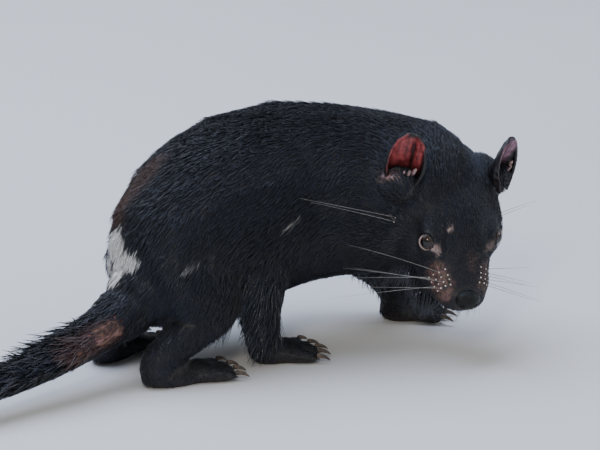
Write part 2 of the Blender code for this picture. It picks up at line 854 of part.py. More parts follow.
def arm_locks(name, node, chance):
    """Wet locks on the outer side of one forearm, that point down and back."""
    count, length, width, lift, clear = LOCKS[name]
    top = max(v.co.z for v in node.data.vertices)
    centre = sum((v.co for v in node.data.vertices), Vector()) / len(node.data.vertices)
    made = []
    for k in range(count):
        turn = math.radians(236 + 64 * ((k * 0.618) % 1))
        out = Vector((math.cos(turn), math.sin(turn), 0))
        height = top - (clear + 8 * ((k * 0.382) % 1)) * MM
        root, normal = on_surface(node, Vector((centre.x, centre.y, height)) + out * 24 * MM)
        way = Vector((-0.12, -0.1, -1))
        lie = (way - normal * way.dot(normal)).normalized()
        reach = length * MM * chance.uniform(0.8, 1.1)
        made.append(lock(root, normal, lie, reach, width * MM * chance.uniform(0.8, 1.1), lift))
    return rooted(node, made)


def centre_on_floor():
    """Moves every piece so that the model's box is centred over the origin."""
    nodes = [o for o in bpy.data.objects if o.type == "MESH"]
    points = [v.co for o in nodes for v in o.data.vertices]
    middle = [(max(p[k] for p in points) + min(p[k] for p in points)) / 2 for k in range(2)]
    low = min(p.z for p in points)
    shift = Vector((-middle[0], -middle[1], -low))
    for obj in nodes:
        obj.data.transform(Matrix.Translation(shift))


def shade():
    """Shades the round pieces smooth."""
    for obj in bpy.data.objects:
        if obj.type == "MESH":
            obj.data.shade_smooth()
            obj.data.set_sharp_from_angle(angle=math.radians(40))


def main():
    """Builds the animal."""
    clear_scene()
    nodes = part_body(whole_body())
    head = detail_head(nodes["head"])
    for side, name in ((1, "eye_left"), (-1, "eye_right")):
        centre, _ = eye(side)
        ball(name, centre, EYE_RADIUS)
    nose_pad(head)
    turn = head_turn()
    for name, base, axis, opening in (
        ("ear_right", (3, -48, 31), (-0.36, 0.03, 0.91), (0.76, -0.45, 0.30)),
        ("ear_left", (-2, 45, 21), (-0.28, 0.24, 0.93), (0.75, 0.60, 0.25)),
    ):
        place = head_matrix() @ (Vector(base) * MM)
        ear(name, place, turn @ Vector(axis), turn @ Vector(opening), head)
    add_claws(nodes)
    chance = random.Random(LOCK_SEED)
    for name in LOCKS:
        grow = tail_locks if name.startswith("tail") else arm_locks
        grow(name, nodes[name], chance)
    for name, *_ in FEET:
        repainted(nodes[name], "foot_skin")
    centre_on_floor()
    shade()


if __name__ == "__main__":
    main()
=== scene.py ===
"""Tasmanian devil, a still, life-size model of the whole animal, crouched on its four feet.

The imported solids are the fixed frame. One skin takes the place of the flesh nodes, and a coat of
small tapered tufts lies over it. Eyes, lids, ears, nose pad, claws and whiskers are pieces of
their own. The trunk runs along +X, the head is turned to -Y and lowered, and Z is up.
"""

import json
import logging
import math
from dataclasses import dataclass, field
from enum import Enum
from typing import Callable

import bmesh
import bpy
import numpy as np
from mathutils import Matrix, Vector
from mathutils.bvhtree import BVHTree

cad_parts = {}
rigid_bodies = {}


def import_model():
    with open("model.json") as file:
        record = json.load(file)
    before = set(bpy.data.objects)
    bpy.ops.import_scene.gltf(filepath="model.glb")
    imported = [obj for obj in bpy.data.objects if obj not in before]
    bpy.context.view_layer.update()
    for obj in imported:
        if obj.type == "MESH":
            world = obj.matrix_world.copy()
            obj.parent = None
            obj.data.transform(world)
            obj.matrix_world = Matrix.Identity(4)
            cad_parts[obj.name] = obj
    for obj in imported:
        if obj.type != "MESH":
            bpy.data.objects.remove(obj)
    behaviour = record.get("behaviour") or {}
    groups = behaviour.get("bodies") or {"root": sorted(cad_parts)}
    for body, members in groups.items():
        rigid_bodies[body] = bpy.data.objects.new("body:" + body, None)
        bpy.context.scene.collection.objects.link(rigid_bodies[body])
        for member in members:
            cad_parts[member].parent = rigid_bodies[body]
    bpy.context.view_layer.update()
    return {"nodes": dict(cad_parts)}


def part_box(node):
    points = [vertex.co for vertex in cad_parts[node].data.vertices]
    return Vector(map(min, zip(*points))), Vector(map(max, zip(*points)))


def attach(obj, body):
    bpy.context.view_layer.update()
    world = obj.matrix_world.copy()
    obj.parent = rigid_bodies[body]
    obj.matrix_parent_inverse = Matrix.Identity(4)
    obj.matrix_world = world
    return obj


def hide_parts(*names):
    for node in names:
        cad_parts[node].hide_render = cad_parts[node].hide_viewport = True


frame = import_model()

LOG = logging.getLogger("devil")
MM = 0.001

# Short names of the types that recur below.
Array = np.ndarray
Chance = np.random.Generator
Material = bpy.types.Material
Mesh = bpy.types.Mesh
Node = bpy.types.Node
Object = bpy.types.Object
Socket = bpy.types.NodeSocket

# The places below are measured in the body's own frame, which lies this far from the row frame.
BODY_SHIFT = Vector((-34.45, 39.91, 0.0)) * MM
# The head's own frame: x to the nose, y to the animal's left, z to the crown.
HEAD_PLACE = BODY_SHIFT + Vector((247.0, -84.0, 132.0)) * MM
HEAD_TURN = (
    Matrix.Rotation(math.radians(-102), 3, "Z")
    @ Matrix.Rotation(math.radians(42), 3, "Y")
    @ Matrix.Rotation(math.radians(-4), 3, "X")
)

# Behind this place, along the body's X, nothing is a foot.
HEEL_X = -42 * MM

TOES = {"forefoot_right": 5, "forefoot_left": 5, "hindfoot_right": 4, "hindfoot_left": 4}
FLESH = (
    "head", "neck", "torso", "tail_root", "tail_middle", "tail_end",
    "foreleg_right", "foreleg_left", "hindleg_right", "hindleg_left", *TOES,
)
# The nodes whose locks the coat's own wet locks take the place of, and their cores: for each
# station the centre and the radius, in the body's frame, in millimetres.
LOCKED = ("tail_root", "tail_middle", "tail_end", "foreleg_right")
TAIL_CORE = (
    (-8, -22, 66, 24), (-26, -26, 57.5, 22), (-38, -29, 52, 20.3), (-62, -35, 44, 18),
    (-92, -42, 37, 15.8), (-128, -51, 31, 13.6), (-166, -59, 26, 11.4), (-200, -65, 22, 9.2),
    (-224, -70, 20, 6.4), (-231, -71, 20, 3.4),
)
FOREARM_CORE = (
    (99, -42, 86, 24), (94, -45, 72, 22.5), (91, -47, 48, 18.6), (93, -48, 26, 15.2), (96, -48, 14, 14.4),
)


class Slot(Enum):
    """The names of the record's material slots."""

    COAT = "coat"
    CLAW = "claw"
    EAR = "ear_skin"
    EYE = "eye"
    NOSE = "nose"


class Mark(Enum):
    """The markings that skin and coat share."""

    PALE = "pale"
    BARE = "bare"
    FACE = "face"
    BROWN = "brown"
    FOOT = "foot"


def from_body(place: tuple[float, float, float]) -> Vector:
    """The row-frame point, in metres, of a point in the body's frame, in millimetres."""
    return BODY_SHIFT + Vector(place) * MM


def from_head(place: tuple[float, float, float]) -> Vector:
    """The row-frame point, in metres, of a point in the head's frame, in millimetres."""
    return HEAD_PLACE + HEAD_TURN @ (Vector(place) * MM)


def in_head(points: Array) -> Array:
    """The places, given in metres in the row frame, in the head's frame in millimetres."""
    return (points - np.array(HEAD_PLACE)) @ np.array(HEAD_TURN, float) / MM


def linear(code: str) -> tuple[float, float, float, float]:
    """Turns an sRGB hex colour into the linear colour that shaders take.

    Args:
        code: Six hex digits after a hash sign.

    Returns:
        Red, green, blue and an alpha of one.
    """
    shares = [int(code[k:k + 2], 16) / 255 for k in (1, 3, 5)]
    red, green, blue = (s / 12.92 if s <= 0.04045 else ((s + 0.055) / 1.055) ** 2.4 for s in shares)
    return red, green, blue, 1.0


def new_material(name: str) -> tuple[Material, Node]:
    """A material with only its Principled shader and output.

    Args:
        name: What the finish is.

    Returns:
        The material and its shader node.
    """
    material = bpy.data.materials.new(name)
    material.use_nodes = True
    return material, material.node_tree.nodes["Principled BSDF"]


def set_inputs(material: Material, node: Node, inputs: dict) -> None:
    """Gives a node its inputs.

    Args:
        material: The material whose tree holds the node.
        node: The node.
        inputs: For each input name or index a value, or the output socket to link to it.
    """
    for name, value in inputs.items():
        if isinstance(value, Socket):
            material.node_tree.links.new(value, node.inputs[name])
        else:
            node.inputs[name].default_value = value


def add_node(material: Material, kind: str, inputs: dict | None = None, **settings) -> Node:
    """Adds one shader node with its settings, its values and its links.

    Args:
        material: The material whose tree gets the node.
        kind: The node's type name without the ShaderNode part.
        inputs: What set_inputs takes.
        **settings: Attributes of the node.

    Returns:
        The new node.
    """
    node = material.node_tree.nodes.new("ShaderNode" + kind)
    for name, value in settings.items():
        setattr(node, name, value)
    set_inputs(material, node, inputs or {})
    return node


def read_attribute(material: Material, name: str) -> Socket:
    """The socket that reads one of the mesh's numbers."""
    return add_node(material, "Attribute", attribute_name=name).outputs["Fac"]


def object_place(material: Material) -> Socket:
    """The socket that gives the place on the object."""
    return add_node(material, "TexCoord").outputs["Object"]


def noise(material: Material, place: Socket, size: float, detail: float) -> Socket:
    """The socket of a noise whose lumps have that size in millimetres."""
    inputs = {"Vector": place, "Scale": 1000 / size, "Detail": detail}
    return add_node(material, "TexNoise", inputs).outputs[0]


def mixed(material: Material, share: Socket, first: object, second: object) -> Socket:
    """The socket of a blend from the first colour to the second."""
    return add_node(material, "MixRGB", {0: share, 1: first, 2: second}).outputs["Color"]


def ramp(
    material: Material, factor: Socket, *stops: tuple[float, str]
) -> Socket:
    """Adds a colour ramp.

    Args:
        material: The material whose tree gets the ramp.
        factor: What drives it.
        *stops: Position and hex colour of each stop, in order.

    Returns:
        The socket of the ramp's colour.
    """
    node = add_node(material, "ValToRGB", {0: factor})
    elements = node.color_ramp.elements
    while len(elements) < len(stops):
        elements.new(0.5)
    for element, (place, code) in zip(elements, stops):
        element.position = place
        element.color = linear(code)
    return node.outputs["Color"]


def marked(material: Material, colour: Socket, layers: dict) -> Socket:
    """Lays the markings over a colour.

    Args:
        material: The material whose tree gets them.
        colour: The socket of the colour below.
        layers: The colour or socket of each marking, the lowest first.

    Returns:
        The socket of the marked colour.
    """
    for mark, source in layers.items():
        colour = mixed(material, read_attribute(material, mark.value), colour, source)
    return colour


def deselect() -> None:
    """Leaves edit mode and selects nothing."""
    if bpy.context.object and bpy.context.object.mode != "OBJECT":
        bpy.ops.object.mode_set(mode="OBJECT")
    bpy.ops.object.select_all(action="DESELECT")


def activate(obj: Object) -> None:
    """Selects one object alone and makes it active."""
    deselect()
    obj.select_set(True)
    bpy.context.view_layer.objects.active = obj


def apply_modifier(obj: Object, kind: str, **settings) -> None:
    """Adds a modifier, sets it and applies it.

    Args:
        obj: The object.
        kind: The modifier's type.
        **settings: Attributes of the modifier.
    """
    activate(obj)
    modifier = obj.modifiers.new(kind.title(), kind)
    for name, value in settings.items():
        setattr(modifier, name, value)
    bpy.ops.object.modifier_apply(modifier=modifier.name)


def settle(obj: Object) -> None:
    """Puts the object's place, turn and size into its mesh."""
    activate(obj)
    bpy.ops.object.transform_apply(location=True, rotation=True, scale=True)


def linked(name: str, data: bpy.types.ID) -> Object:
    """A new object of that data, linked to the scene."""
    obj = bpy.data.objects.new(name, data)
    bpy.context.scene.collection.objects.link(obj)
    return obj


def merged_copy(node: str, name: str, swell: float = 0.0) -> Object:
    """A copy of a solid with its loose triangles merged.

    Args:
        node: The solid's name.
        name: The copy's name.
        swell: How far the surface is pushed out, in metres.

    Returns:
        The linked copy.
    """
    mesh = frame["nodes"][node].data.copy()
    mesh.materials.clear()
    bm = bmesh.new()
    bm.from_mesh(mesh)
    bmesh.ops.remove_doubles(bm, verts=bm.verts, dist=1e-6)
    bmesh.ops.recalc_face_normals(bm, faces=bm.faces)
    if swell:
        bm.normal_update()
        shifts = [v.normal * swell for v in bm.verts]
        for vert, shift in zip(bm.verts, shifts):
            vert.co += shift
    bm.to_mesh(mesh)
    bm.free()
    return linked(name, mesh)


def join(name: str, pieces: list[Object]) -> Object:
    """Joins pieces into one object of that name."""
    deselect()
    for piece in pieces:
        piece.select_set(True)
    bpy.context.view_layer.objects.active = pieces[0]
    if len(pieces) > 1:
        bpy.ops.object.join()
    made = bpy.context.view_layer.objects.active
    made.name = name
    made.data.name = name
    return made


def finish(obj: Object, material: Material, slot: Slot, *nodes: str) -> Object:
    """Makes a modelled piece a part of the animal.

    Args:
        obj: The piece.
        material: Its finish.
        slot: The record's material slot; not used.
        *nodes: The solids that it takes the place of.

    Returns:
        The same piece.
    """
    activate(obj)
    bpy.ops.object.shade_smooth()
    obj.data.materials.append(material)
    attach(obj, "root")
    if nodes:
        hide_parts(*nodes)
    return obj


def keep_main_shell(obj: Object) -> None:
    """Deletes every loose shell but the one that holds the highest point."""
    top = max(obj.data.vertices, key=lambda v: v.co.z).index
    activate(obj)
    bpy.ops.object.mode_set(mode="EDIT")
    bpy.ops.mesh.select_all(action="DESELECT")
    bpy.ops.object.mode_set(mode="OBJECT")
    obj.data.vertices[top].select = True
    bpy.ops.object.mode_set(mode="EDIT")
    bpy.ops.mesh.select_linked()
    bpy.ops.mesh.select_all(action="INVERT")
    bpy.ops.mesh.delete(type="VERT")
    bpy.ops.object.mode_set(mode="OBJECT")


def rows_of(
    items: bpy.types.bpy_prop_collection, kind: str, width: int = 3, number: type = np.float32
) -> Array:
    """One property of every item, as rows.

    Args:
        items: A mesh's vertices, loops or the like.
        kind: The property's name.
        width: How many numbers it has.
        number: Their type.

    Returns:
        One row for each item.
    """
    found = np.zeros(len(items) * width, number)
    items.foreach_get(kind, found)
    return found.reshape(-1, width)


def points_of(mesh: Mesh) -> Array:
    """The mesh's vertex places as rows."""
    return rows_of(mesh.vertices, "co").astype(float)


def normals_of(mesh: Mesh) -> Array:
    """The mesh's vertex normals as rows."""
    return rows_of(mesh.vertices, "normal").astype(float)


def set_points(mesh: Mesh, points: Array) -> None:
    """Moves the mesh's vertices to those places."""
    mesh.vertices.foreach_set("co", points.astype(np.float32).ravel())
    mesh.update()


def set_attribute(mesh: Mesh, name: str, values: Array) -> None:
    """Stores one number for each vertex under that name."""
    made = mesh.attributes.new(name, "FLOAT", "POINT")
    made.data.foreach_set("value", values.astype(np.float32))


def unit(rows: Array) -> Array:
    """The rows, each brought to length one."""
    return rows / np.maximum(np.linalg.norm(rows, axis=1, keepdims=True), 1e-9)


def ripple(points: Array, wave: float, phase: float = 0.0) -> Array:
    """A smooth, uneven field between about -1 and 1.

    Args:
        points: Places in metres, as rows.
        wave: The field's rough wavelength in metres.
        phase: Shifts the field, so that several differ.

    Returns:
        One value for each place.
    """
    p = points / wave * 2 * math.pi
    x, y, z = p[:, 0], p[:, 1], p[:, 2]
    total = np.sin(x + 1.7 * np.sin(y * 0.73 + phase) + phase)
    total += np.sin(y * 1.13 + 1.5 * np.sin(z * 0.81 + 2 * phase) + 1.3 * phase)
    total += np.sin(z * 0.97 + 1.6 * np.sin(x * 0.67 - phase) - phase)
    return total / 2.2


def distance(points: Array, path: Array) -> Array:
    """How far each place is from a path of one or more points."""
    best = np.linalg.norm(points - path[0], axis=1)
    for a, b in zip(path[:-1], path[1:]):
        way = b - a
        along = np.clip(((points - a) @ way) / (way @ way), 0, 1)
        best = np.minimum(best, np.linalg.norm(points - a - along[:, None] * way, axis=1))
    return best


@dataclass(frozen=True)
class Guide:
    """How fluffed hair lies at one place: its length, depth and width in millimetres."""

    place: tuple[float, float, float]
    lie: tuple[float, float, float]
    size: tuple[float, float, float]


# The coat is sleek: these shares of the fluffed length, depth and width are left.
BODY_SLEEK = (0.88, 0.66, 0.66)
HEAD_SLEEK = (0.95, 0.75, 0.72)
BACK_HAIR = (15, 4.0, 1.6)
SIDE_HAIR = (13, 3.6, 1.5)
HAUNCH_HAIR = (13, 3.4, 1.5)
SHOULDER_HAIR = (12, 3.4, 1.4)
THIGH_HAIR = (11, 3.0, 1.4)
HOCK_HAIR = (8, 2.0, 1.2)
WRIST_HAIR = (6, 1.4, 1.1)
HEEL_HAIR = (5, 1.0, 1.0)
TOE_HAIR = (3.2, 0.7, 0.8)
BODY_GUIDES = (
    Guide((211, -42, 188), (-0.70, 0.62, -0.05), (12, 3.4, 1.45)),
    Guide((171, -18, 202), (-0.97, 0.22, 0.0), (14, 3.8, 1.5)),
    Guide((98, 1, 199), (-1, 0, -0.05), BACK_HAIR),
    Guide((33, -5, 168), (-0.88, 0, -0.45), BACK_HAIR),
    Guide((-12, -15, 115), (-0.45, 0, -0.9), (14, 3.8, 1.6)),
    Guide((-27, -22, 85), (-0.7, -0.05, -0.7), (15, 3.6, 1.7)),
    Guide((143, -70, 150), (-0.85, -0.1, -0.5), SHOULDER_HAIR),
    Guide((88, -70, 125), (-0.85, 0, -0.5), SIDE_HAIR),
    Guide((18, -58, 115), (-0.7, -0.1, -0.7), HAUNCH_HAIR),
    Guide((43, -75, 70), (-0.45, -0.1, -0.85), THIGH_HAIR),
    Guide((148, 55, 130), (-0.8, 0.1, -0.6), SHOULDER_HAIR),
    Guide((93, 73, 115), (-0.85, 0.05, -0.5), SIDE_HAIR),
    Guide((23, 55, 105), (-0.7, 0.1, -0.7), HAUNCH_HAIR),
    Guide((28, 48, 70), (-0.45, 0.1, -0.85), THIGH_HAIR),
    Guide((98, 0, 44), (-1, 0, -0.15), (14, 3.2, 1.6)),
    Guide((198, -35, 62), (-0.6, 0.5, -0.6), (12, 3.2, 1.5)),
    Guide((99, -48, 85), (-0.35, -0.1, -0.93), THIGH_HAIR),
    Guide((88, -52, 52), (-0.45, -0.15, -0.88), (10, 2.4, 1.4)),
    Guide((95, -50, 24), (0.25, 0, -0.95), WRIST_HAIR),
    Guide((113, -52, 13), (0.92, -0.15, -0.2), TOE_HAIR),
    Guide((173, 32, 88), (0.1, 0.1, -0.95), THIGH_HAIR),
    Guide((205, 18, 58), (0.5, -0.3, -0.8), (9, 2.4, 1.3)),
    Guide((241, -4, 28), (0.55, -0.3, -0.75), WRIST_HAIR),
    Guide((261, -14, 13), (0.88, -0.36, -0.2), TOE_HAIR),
    Guide((13, -58, 36), (-0.6, 0, -0.8), HOCK_HAIR),
    Guide((-15, -58, 16), (0.3, 0, -0.9), HEEL_HAIR),
    Guide((31, -58, 13), (0.96, -0.1, -0.2), TOE_HAIR),
    Guide((-5, 26, 36), (-0.6, -0.2, -0.8), HOCK_HAIR),
    Guide((-25, 12, 16), (0.3, 0.1, -0.9), HEEL_HAIR),
    Guide((15, 32, 13), (0.88, 0.42, -0.2), TOE_HAIR),
    Guide((-59, -32, 50), (-0.93, -0.2, -0.3), (14, 3.0, 1.7)),
    Guide((-127, -48, 33), (-0.97, -0.2, -0.12), (18, 2.8, 1.9)),
    Guide((-202, -67, 22), (-0.98, -0.15, -0.05), (20, 2.2, 1.9)),
)
# These are in the head's frame, and each one off the middle line stands for both sides.
HEAD_GUIDES = (
    Guide((0, 0, 27), (-1, 0, 0.05), (8, 2.2, 1.15)),
    Guide((38, 0, 16), (-1, 0, 0.15), (5.5, 1.5, 0.95)),
    Guide((70, 0, 1), (-1, 0, 0.2), (3.2, 0.8, 0.75)),
    Guide((80, 20, -16), (-0.95, 0.2, -0.15), (2.4, 0.5, 0.65)),
    Guide((30, 48, -12), (-0.85, 0.15, -0.5), (8, 2.0, 1.15)),
    Guide((35, 36, -42), (-0.9, 0.1, -0.2), (6.5, 1.7, 1.05)),
    Guide((15, 46, 18), (-0.95, 0.1, -0.1), (6.5, 1.9, 1.05)),
    Guide((66, 0, -42), (-1, 0, -0.1), (3.5, 0.9, 0.8)),
    Guide((10, 0, -50), (-1, 0, -0.1), (8.5, 2.3, 1.15)),
    Guide((44, 22, 19), (-0.9, 0.3, 0.3), (3.6, 1.1, 0.8)),
    Guide((56, 32, -6), (-0.8, 0.3, -0.5), (4.0, 1.0, 0.85)),
)


@dataclass(frozen=True)
class Patch:
    """One marking: a soft band about a path, sizes in millimetres."""

    mark: Mark
    strength: float
    radius: float
    feather: float
    path: tuple[tuple[float, float, float], ...]
    on_head: bool = False


PATCHES = (
    Patch(Mark.PALE, 1.0, 9.5, 2.0, ((-16, -5, 117), (-22, -13, 104), (-26, -15, 92))),
    Patch(Mark.PALE, 1.0, 7.0, 2.0, ((-21, -18, 107), (-16, -30, 105))),
    Patch(Mark.PALE, 1.0, 7.5, 2.0, ((-22, 3, 110), (-29, 2, 98), (-31, -3, 88))),
    Patch(Mark.PALE, 1.0, 8.5, 2.0, ((-19, 13, 103), (-23, 13, 93), (-23, 9, 86))),
    Patch(Mark.PALE, 1.0, 10.0, 2.0, ((-21, 16, 93), (-17, 26, 89), (-14, 33, 83))),
    Patch(Mark.PALE, 0.62, 2.9, 3.2, ((15, -66, 101), (29, -68, 107), (43, -68, 111))),
    Patch(Mark.PALE, 0.70, 1.9, 2.0, ((106, -72, 120), (113, -72, 126), (120, -72, 131))),
    Patch(Mark.BROWN, 0.72, 13, 14, ((30, 12, 170), (14, 10, 158), (2, 8, 146), (-6, 8, 137))),
    Patch(Mark.BARE, 0.95, 11, 9, ((-84, -56, 42), (-71, -54, 46), (-57, -51, 50), (-47, -49, 52))),
    Patch(Mark.BARE, 0.85, 5.5, 3.5, ((2, -58, 39), (0, -62, 31)), True),
    Patch(Mark.FACE, 0.8, 3.4, 3.0, ((57, -26, 10), (61, -22, 7)), True),
    Patch(Mark.FACE, 0.3, 3.0, 3.0, ((57, 26, 10), (61, 22, 7)), True),
    Patch(Mark.FACE, 1.0, 2.5, 1.8, ((44.6, -10.7, 16.3),), True),
    Patch(Mark.FACE, 0.7, 2.0, 1.8, ((25.3, -51.8, 5.2),), True),
    Patch(Mark.BARE, 0.6, 9.5, 7, ((84, -17, -14), (72, -23, -8)), True),
    Patch(Mark.BARE, 0.35, 8.5, 7, ((84, 17, -14), (72, 23, -8)), True),
    Patch(Mark.BARE, 0.24, 5, 5, ((66, 8, 3), (72, 7, 0)), True),
)


class CoatMap:
    """Answers, for any place on the body, how the coat lies and how it is marked."""

    reach = 7 * MM
    foot_top = 17 * MM
    foot_feather = 9 * MM

    def __init__(self) -> None:
        """Gathers the guides of body and head in the row frame."""
        places, lies, sizes = [], [], []
        for guide in BODY_GUIDES:
            places.append(from_body(guide.place))
            lies.append(Vector(guide.lie).normalized())
            sizes.append(self.sleek(guide.size, BODY_SLEEK))
        for guide in HEAD_GUIDES:
            for side in (1, -1) if guide.place[1] else (1,):
                x, y, z = guide.place
                places.append(from_head((x, y * side, z)))
                x, y, z = guide.lie
                lies.append((HEAD_TURN @ Vector((x, y * side, z))).normalized())
                sizes.append(self.sleek(guide.size, HEAD_SLEEK))
        self.places = np.array(places, float)
        self.lies = np.array(lies, float)
        self.sizes = np.array(sizes, float) * MM

    @staticmethod
    def sleek(size: tuple[float, float, float], shares: tuple[float, float, float]) -> tuple[float, ...]:
        """The size of sleek hair, to a hundredth of a millimetre."""
        return tuple(round(value * share, 2) for value, share in zip(size, shares))

    def read(self, points: Array) -> tuple[Array, Array]:
        """Blends the guides near each place.

        Args:
            points: Places in metres, as rows.

        Returns:
            The lie's direction for each place, and its length, depth and width in metres.
        """
        gaps = ((points[:, None, :] - self.places[None]) ** 2).sum(2)
        weights = 1 / (gaps + self.reach ** 2) ** 2
        weights /= weights.sum(1, keepdims=True)
        return unit(weights @ self.lies), weights @ self.sizes

    def marks(self, points: Array) -> dict[Mark, Array]:
        """How strongly each marking shows at each place, from 0 to 1."""
        found = {mark: np.zeros(len(points)) for mark in Mark}
        ragged = (ripple(points, 9 * MM) * 1.4 + ripple(points, 4 * MM, 2.0) * 0.8) * MM
        for patch in PATCHES:
            path = [from_head(p) if patch.on_head else from_body(p) for p in patch.path]
            gap = distance(points, np.array(path, float))
            edge = (patch.radius * MM - gap + ragged * min(1.0, patch.radius / 5)) / (patch.feather * MM)
            share = np.clip(edge + 0.5, 0, 1)
            share = share * share * (3 - 2 * share) * patch.strength
            found[patch.mark] = np.maximum(found[patch.mark], share)
        low = np.clip((self.foot_top - points[:, 2] + ragged) / self.foot_feather, 0, 1)
        found[Mark.FOOT] = low * (points[:, 0] > BODY_SHIFT.x + HEEL_X)
        return found


@dataclass(frozen=True)
class Clearing:
    """A path in the head's frame that the fur keeps clear of, in millimetres."""

    path: tuple[tuple[float, float, float], ...]
    radius: float
    feather: float

    def share(self, places: Array, side: int = 1) -> Array:
        """How much fur is left at each place in the head's frame.

        Args:
            places: Rows in millimetres.
            side: 1 for the path as it is, -1 for its mirror image.

        Returns:
            One share for each place, from 0 to 1.
        """
        path = np.array([(x, y * side, z) for x, y, z in self.path], float)
        return np.clip((distance(places, path) - self.radius) / self.feather, 0, 1)


# Points along the mouth run from its corner to the front.
MOUTH_CLEARING = Clearing(
    ((42, 40, -24), (62, 33, -28), (78, 23, -30.5), (89, 11, -31), (93, 0, -31)), 0.7, 1.2
)
EYE_CLEARING = Clearing(((52, 34, 11),), 8.5, 2.0)
NOSE_CLEARING = Clearing(((96, 0, -12.5),), 9.5, 3.0)


@dataclass(frozen=True)
class FurFinish:
    """Black guard hair with a cool sheen: dense and sleek, and glossy where it is wet. On the wet locks, the
    light colour towards the tips is a painted glint.
    """

    name: str
    roughness: float
    wet: float
    dark: str = "#060608"
    light: str = "#191a20"
    pale: str = "#e9e7e2"
    brown: str = "#563c31"
    bare: str = "#4a332d"
    face: str = "#9c857e"
    sheen: str = "#9db2dc"

    def material(self) -> Material:
        """Builds the coat's material."""
        material, shader = new_material(self.name)
        tone, tip = read_attribute(material, "tone"), read_attribute(material, "tip")
        shade = add_node(material, "Math", {0: tone, 1: tip}, operation="MULTIPLY").outputs[0]
        colour = marked(
            material,
            ramp(material, shade, (0.0, self.dark), (1.0, self.light)),
            {
                Mark.BROWN: linear(self.brown),
                Mark.BARE: linear(self.bare),
                Mark.FACE: linear(self.face),
                Mark.PALE: linear(self.pale),
            },
        )
        set_inputs(material, shader, {
            "Base Color": colour,
            "Roughness": self.roughness,
            "Specular IOR Level": 0.5,
            "Coat Weight": self.wet,
            "Coat Roughness": 0.12,
            "Sheen Weight": 0.2,
            "Sheen Roughness": 0.35,
            "Sheen Tint": linear(self.sheen),
        })
        return material


@dataclass(frozen=True)
class SkinFinish:
    """Hide under the coat: dark and matt, pink-brown and creased where it is bare. Sizes in millimetres."""

    hide: str = "#0c0b0d"
    under: str = "#191719"
    bare: str = "#94676a"
    bare_tan: str = "#7c5a4a"
    bare_dark: str = "#35231f"
    face: str = "#ab938b"
    pale: str = "#dedbd5"
    brown: str = "#4a342b"
    foot: str = "#231c1b"
    hair_grain: float = 0.9
    mottle: float = 5.0
    crease: float = 2.6

    def material(self) -> Material:
        """Builds the skin's material."""
        material, shader = new_material("hide_and_bare_skin")
        place = object_place(material)
        hair = noise(material, place, self.hair_grain, 2.0)
        mottle = noise(material, place, self.mottle, 5.0)
        colour = marked(
            material,
            ramp(material, hair, (0.35, self.hide), (0.75, self.under)),
            {
                Mark.BROWN: linear(self.brown),
                Mark.FOOT: linear(self.foot),
                Mark.BARE: ramp(
                    material, mottle, (0.36, self.bare_dark), (0.52, self.bare_tan), (0.66, self.bare)
                ),
                Mark.FACE: linear(self.face),
                Mark.PALE: linear(self.pale),
            },
        )
        crease = add_node(
            material, "TexVoronoi", {"Vector": place, "Scale": 1000 / self.crease},
            feature="DISTANCE_TO_EDGE",
        )
        soft = add_node(
            material, "Bump", {"Strength": 0.25, "Distance": 0.0004, "Height": crease.outputs[0]}
        )
        fine = add_node(material, "Bump", {
            "Strength": 0.5, "Distance": 0.0005, "Height": hair, "Normal": soft.outputs[0],
        })
        set_inputs(material, shader, {"Base Color": colour, "Normal": fine.outputs[0], "Roughness": 0.5})
        return material


@dataclass(frozen=True)
class PlainFinish:
    """A finish of one stuff with a mottle and a fine grain, both sized in millimetres."""

    name: str
    dark: str
    light: str
    mottle: float
    grain: float
    roughness: float
    bump: float = 0.3
    coat: float = 0.0
    specular: float = 0.5

    def material(self) -> Material:
        """Builds the material."""
        material, shader = new_material(self.name)
        place = object_place(material)
        cloud = noise(material, place, self.mottle, 3.0)
        grain = add_node(material, "TexVoronoi", {"Vector": place, "Scale": 1000 / self.grain})
        bump = add_node(
            material, "Bump", {"Strength": self.bump, "Distance": 0.0003, "Height": grain.outputs[0]}
        )
        set_inputs(material, shader, {
            "Base Color": ramp(material, cloud, (0.35, self.dark), (0.68, self.light)),
            "Normal": bump.outputs[0],
            "Roughness": self.roughness,
            "Specular IOR Level": self.specular,
            "Coat Weight": self.coat,
            "Coat Roughness": 0.08,
        })
        return material


@dataclass(frozen=True)
class EyeFinish:
    """A wet, dark brown eye with a round pupil, coloured by the angle from the way it looks."""

    centre: Vector
    axis: Vector
    rings: tuple[tuple[float, str], ...] = (
        (0.0, "#3b2823"), (0.46, "#2a1a15"), (0.58, "#0d0705"), (0.72, "#2f1a10"),
        (0.86, "#402414"), (0.91, "#060403"), (1.0, "#030202"),
    )

    def material(self, name: str) -> Material:
        """Builds the material of the eye that looks along the axis."""
        material, shader = new_material(name)
        way = object_place(material)
        for operation, other in (("SUBTRACT", self.centre), ("NORMALIZE", None), ("DOT_PRODUCT", self.axis)):
            inputs = {0: way} if other is None else {0: way, 1: tuple(other)}
            node = add_node(material, "VectorMath", inputs, operation=operation)
            way = node.outputs["Value" if operation == "DOT_PRODUCT" else "Vector"]
        set_inputs(material, shader, {
            "Base Color": ramp(material, way, *self.rings),
            "Roughness": 0.14,
            "Specular IOR Level": 0.3,
            "Coat Weight": 0.55,
            "Coat Roughness": 0.03,
        })
        return material


@dataclass(frozen=True)
class LidFinish:
    """The bare rim of the lids: pale behind and below the eye, nearly black in front."""

    dark: str = "#1c1413"
    pale: str = "#a08d85"

    def material(self) -> Material:
        """Builds the rim's material."""
        material, shader = new_material("lid_rim_skin")
        share = read_attribute(material, "pale_side")
        set_inputs(material, shader, {
            "Base Color": ramp(material, share, (0.3, self.dark), (0.75, self.pale)),
            "Roughness": 0.36,
            "Coat Weight": 0.3,
            "Coat Roughness": 0.15,
        })
        return material


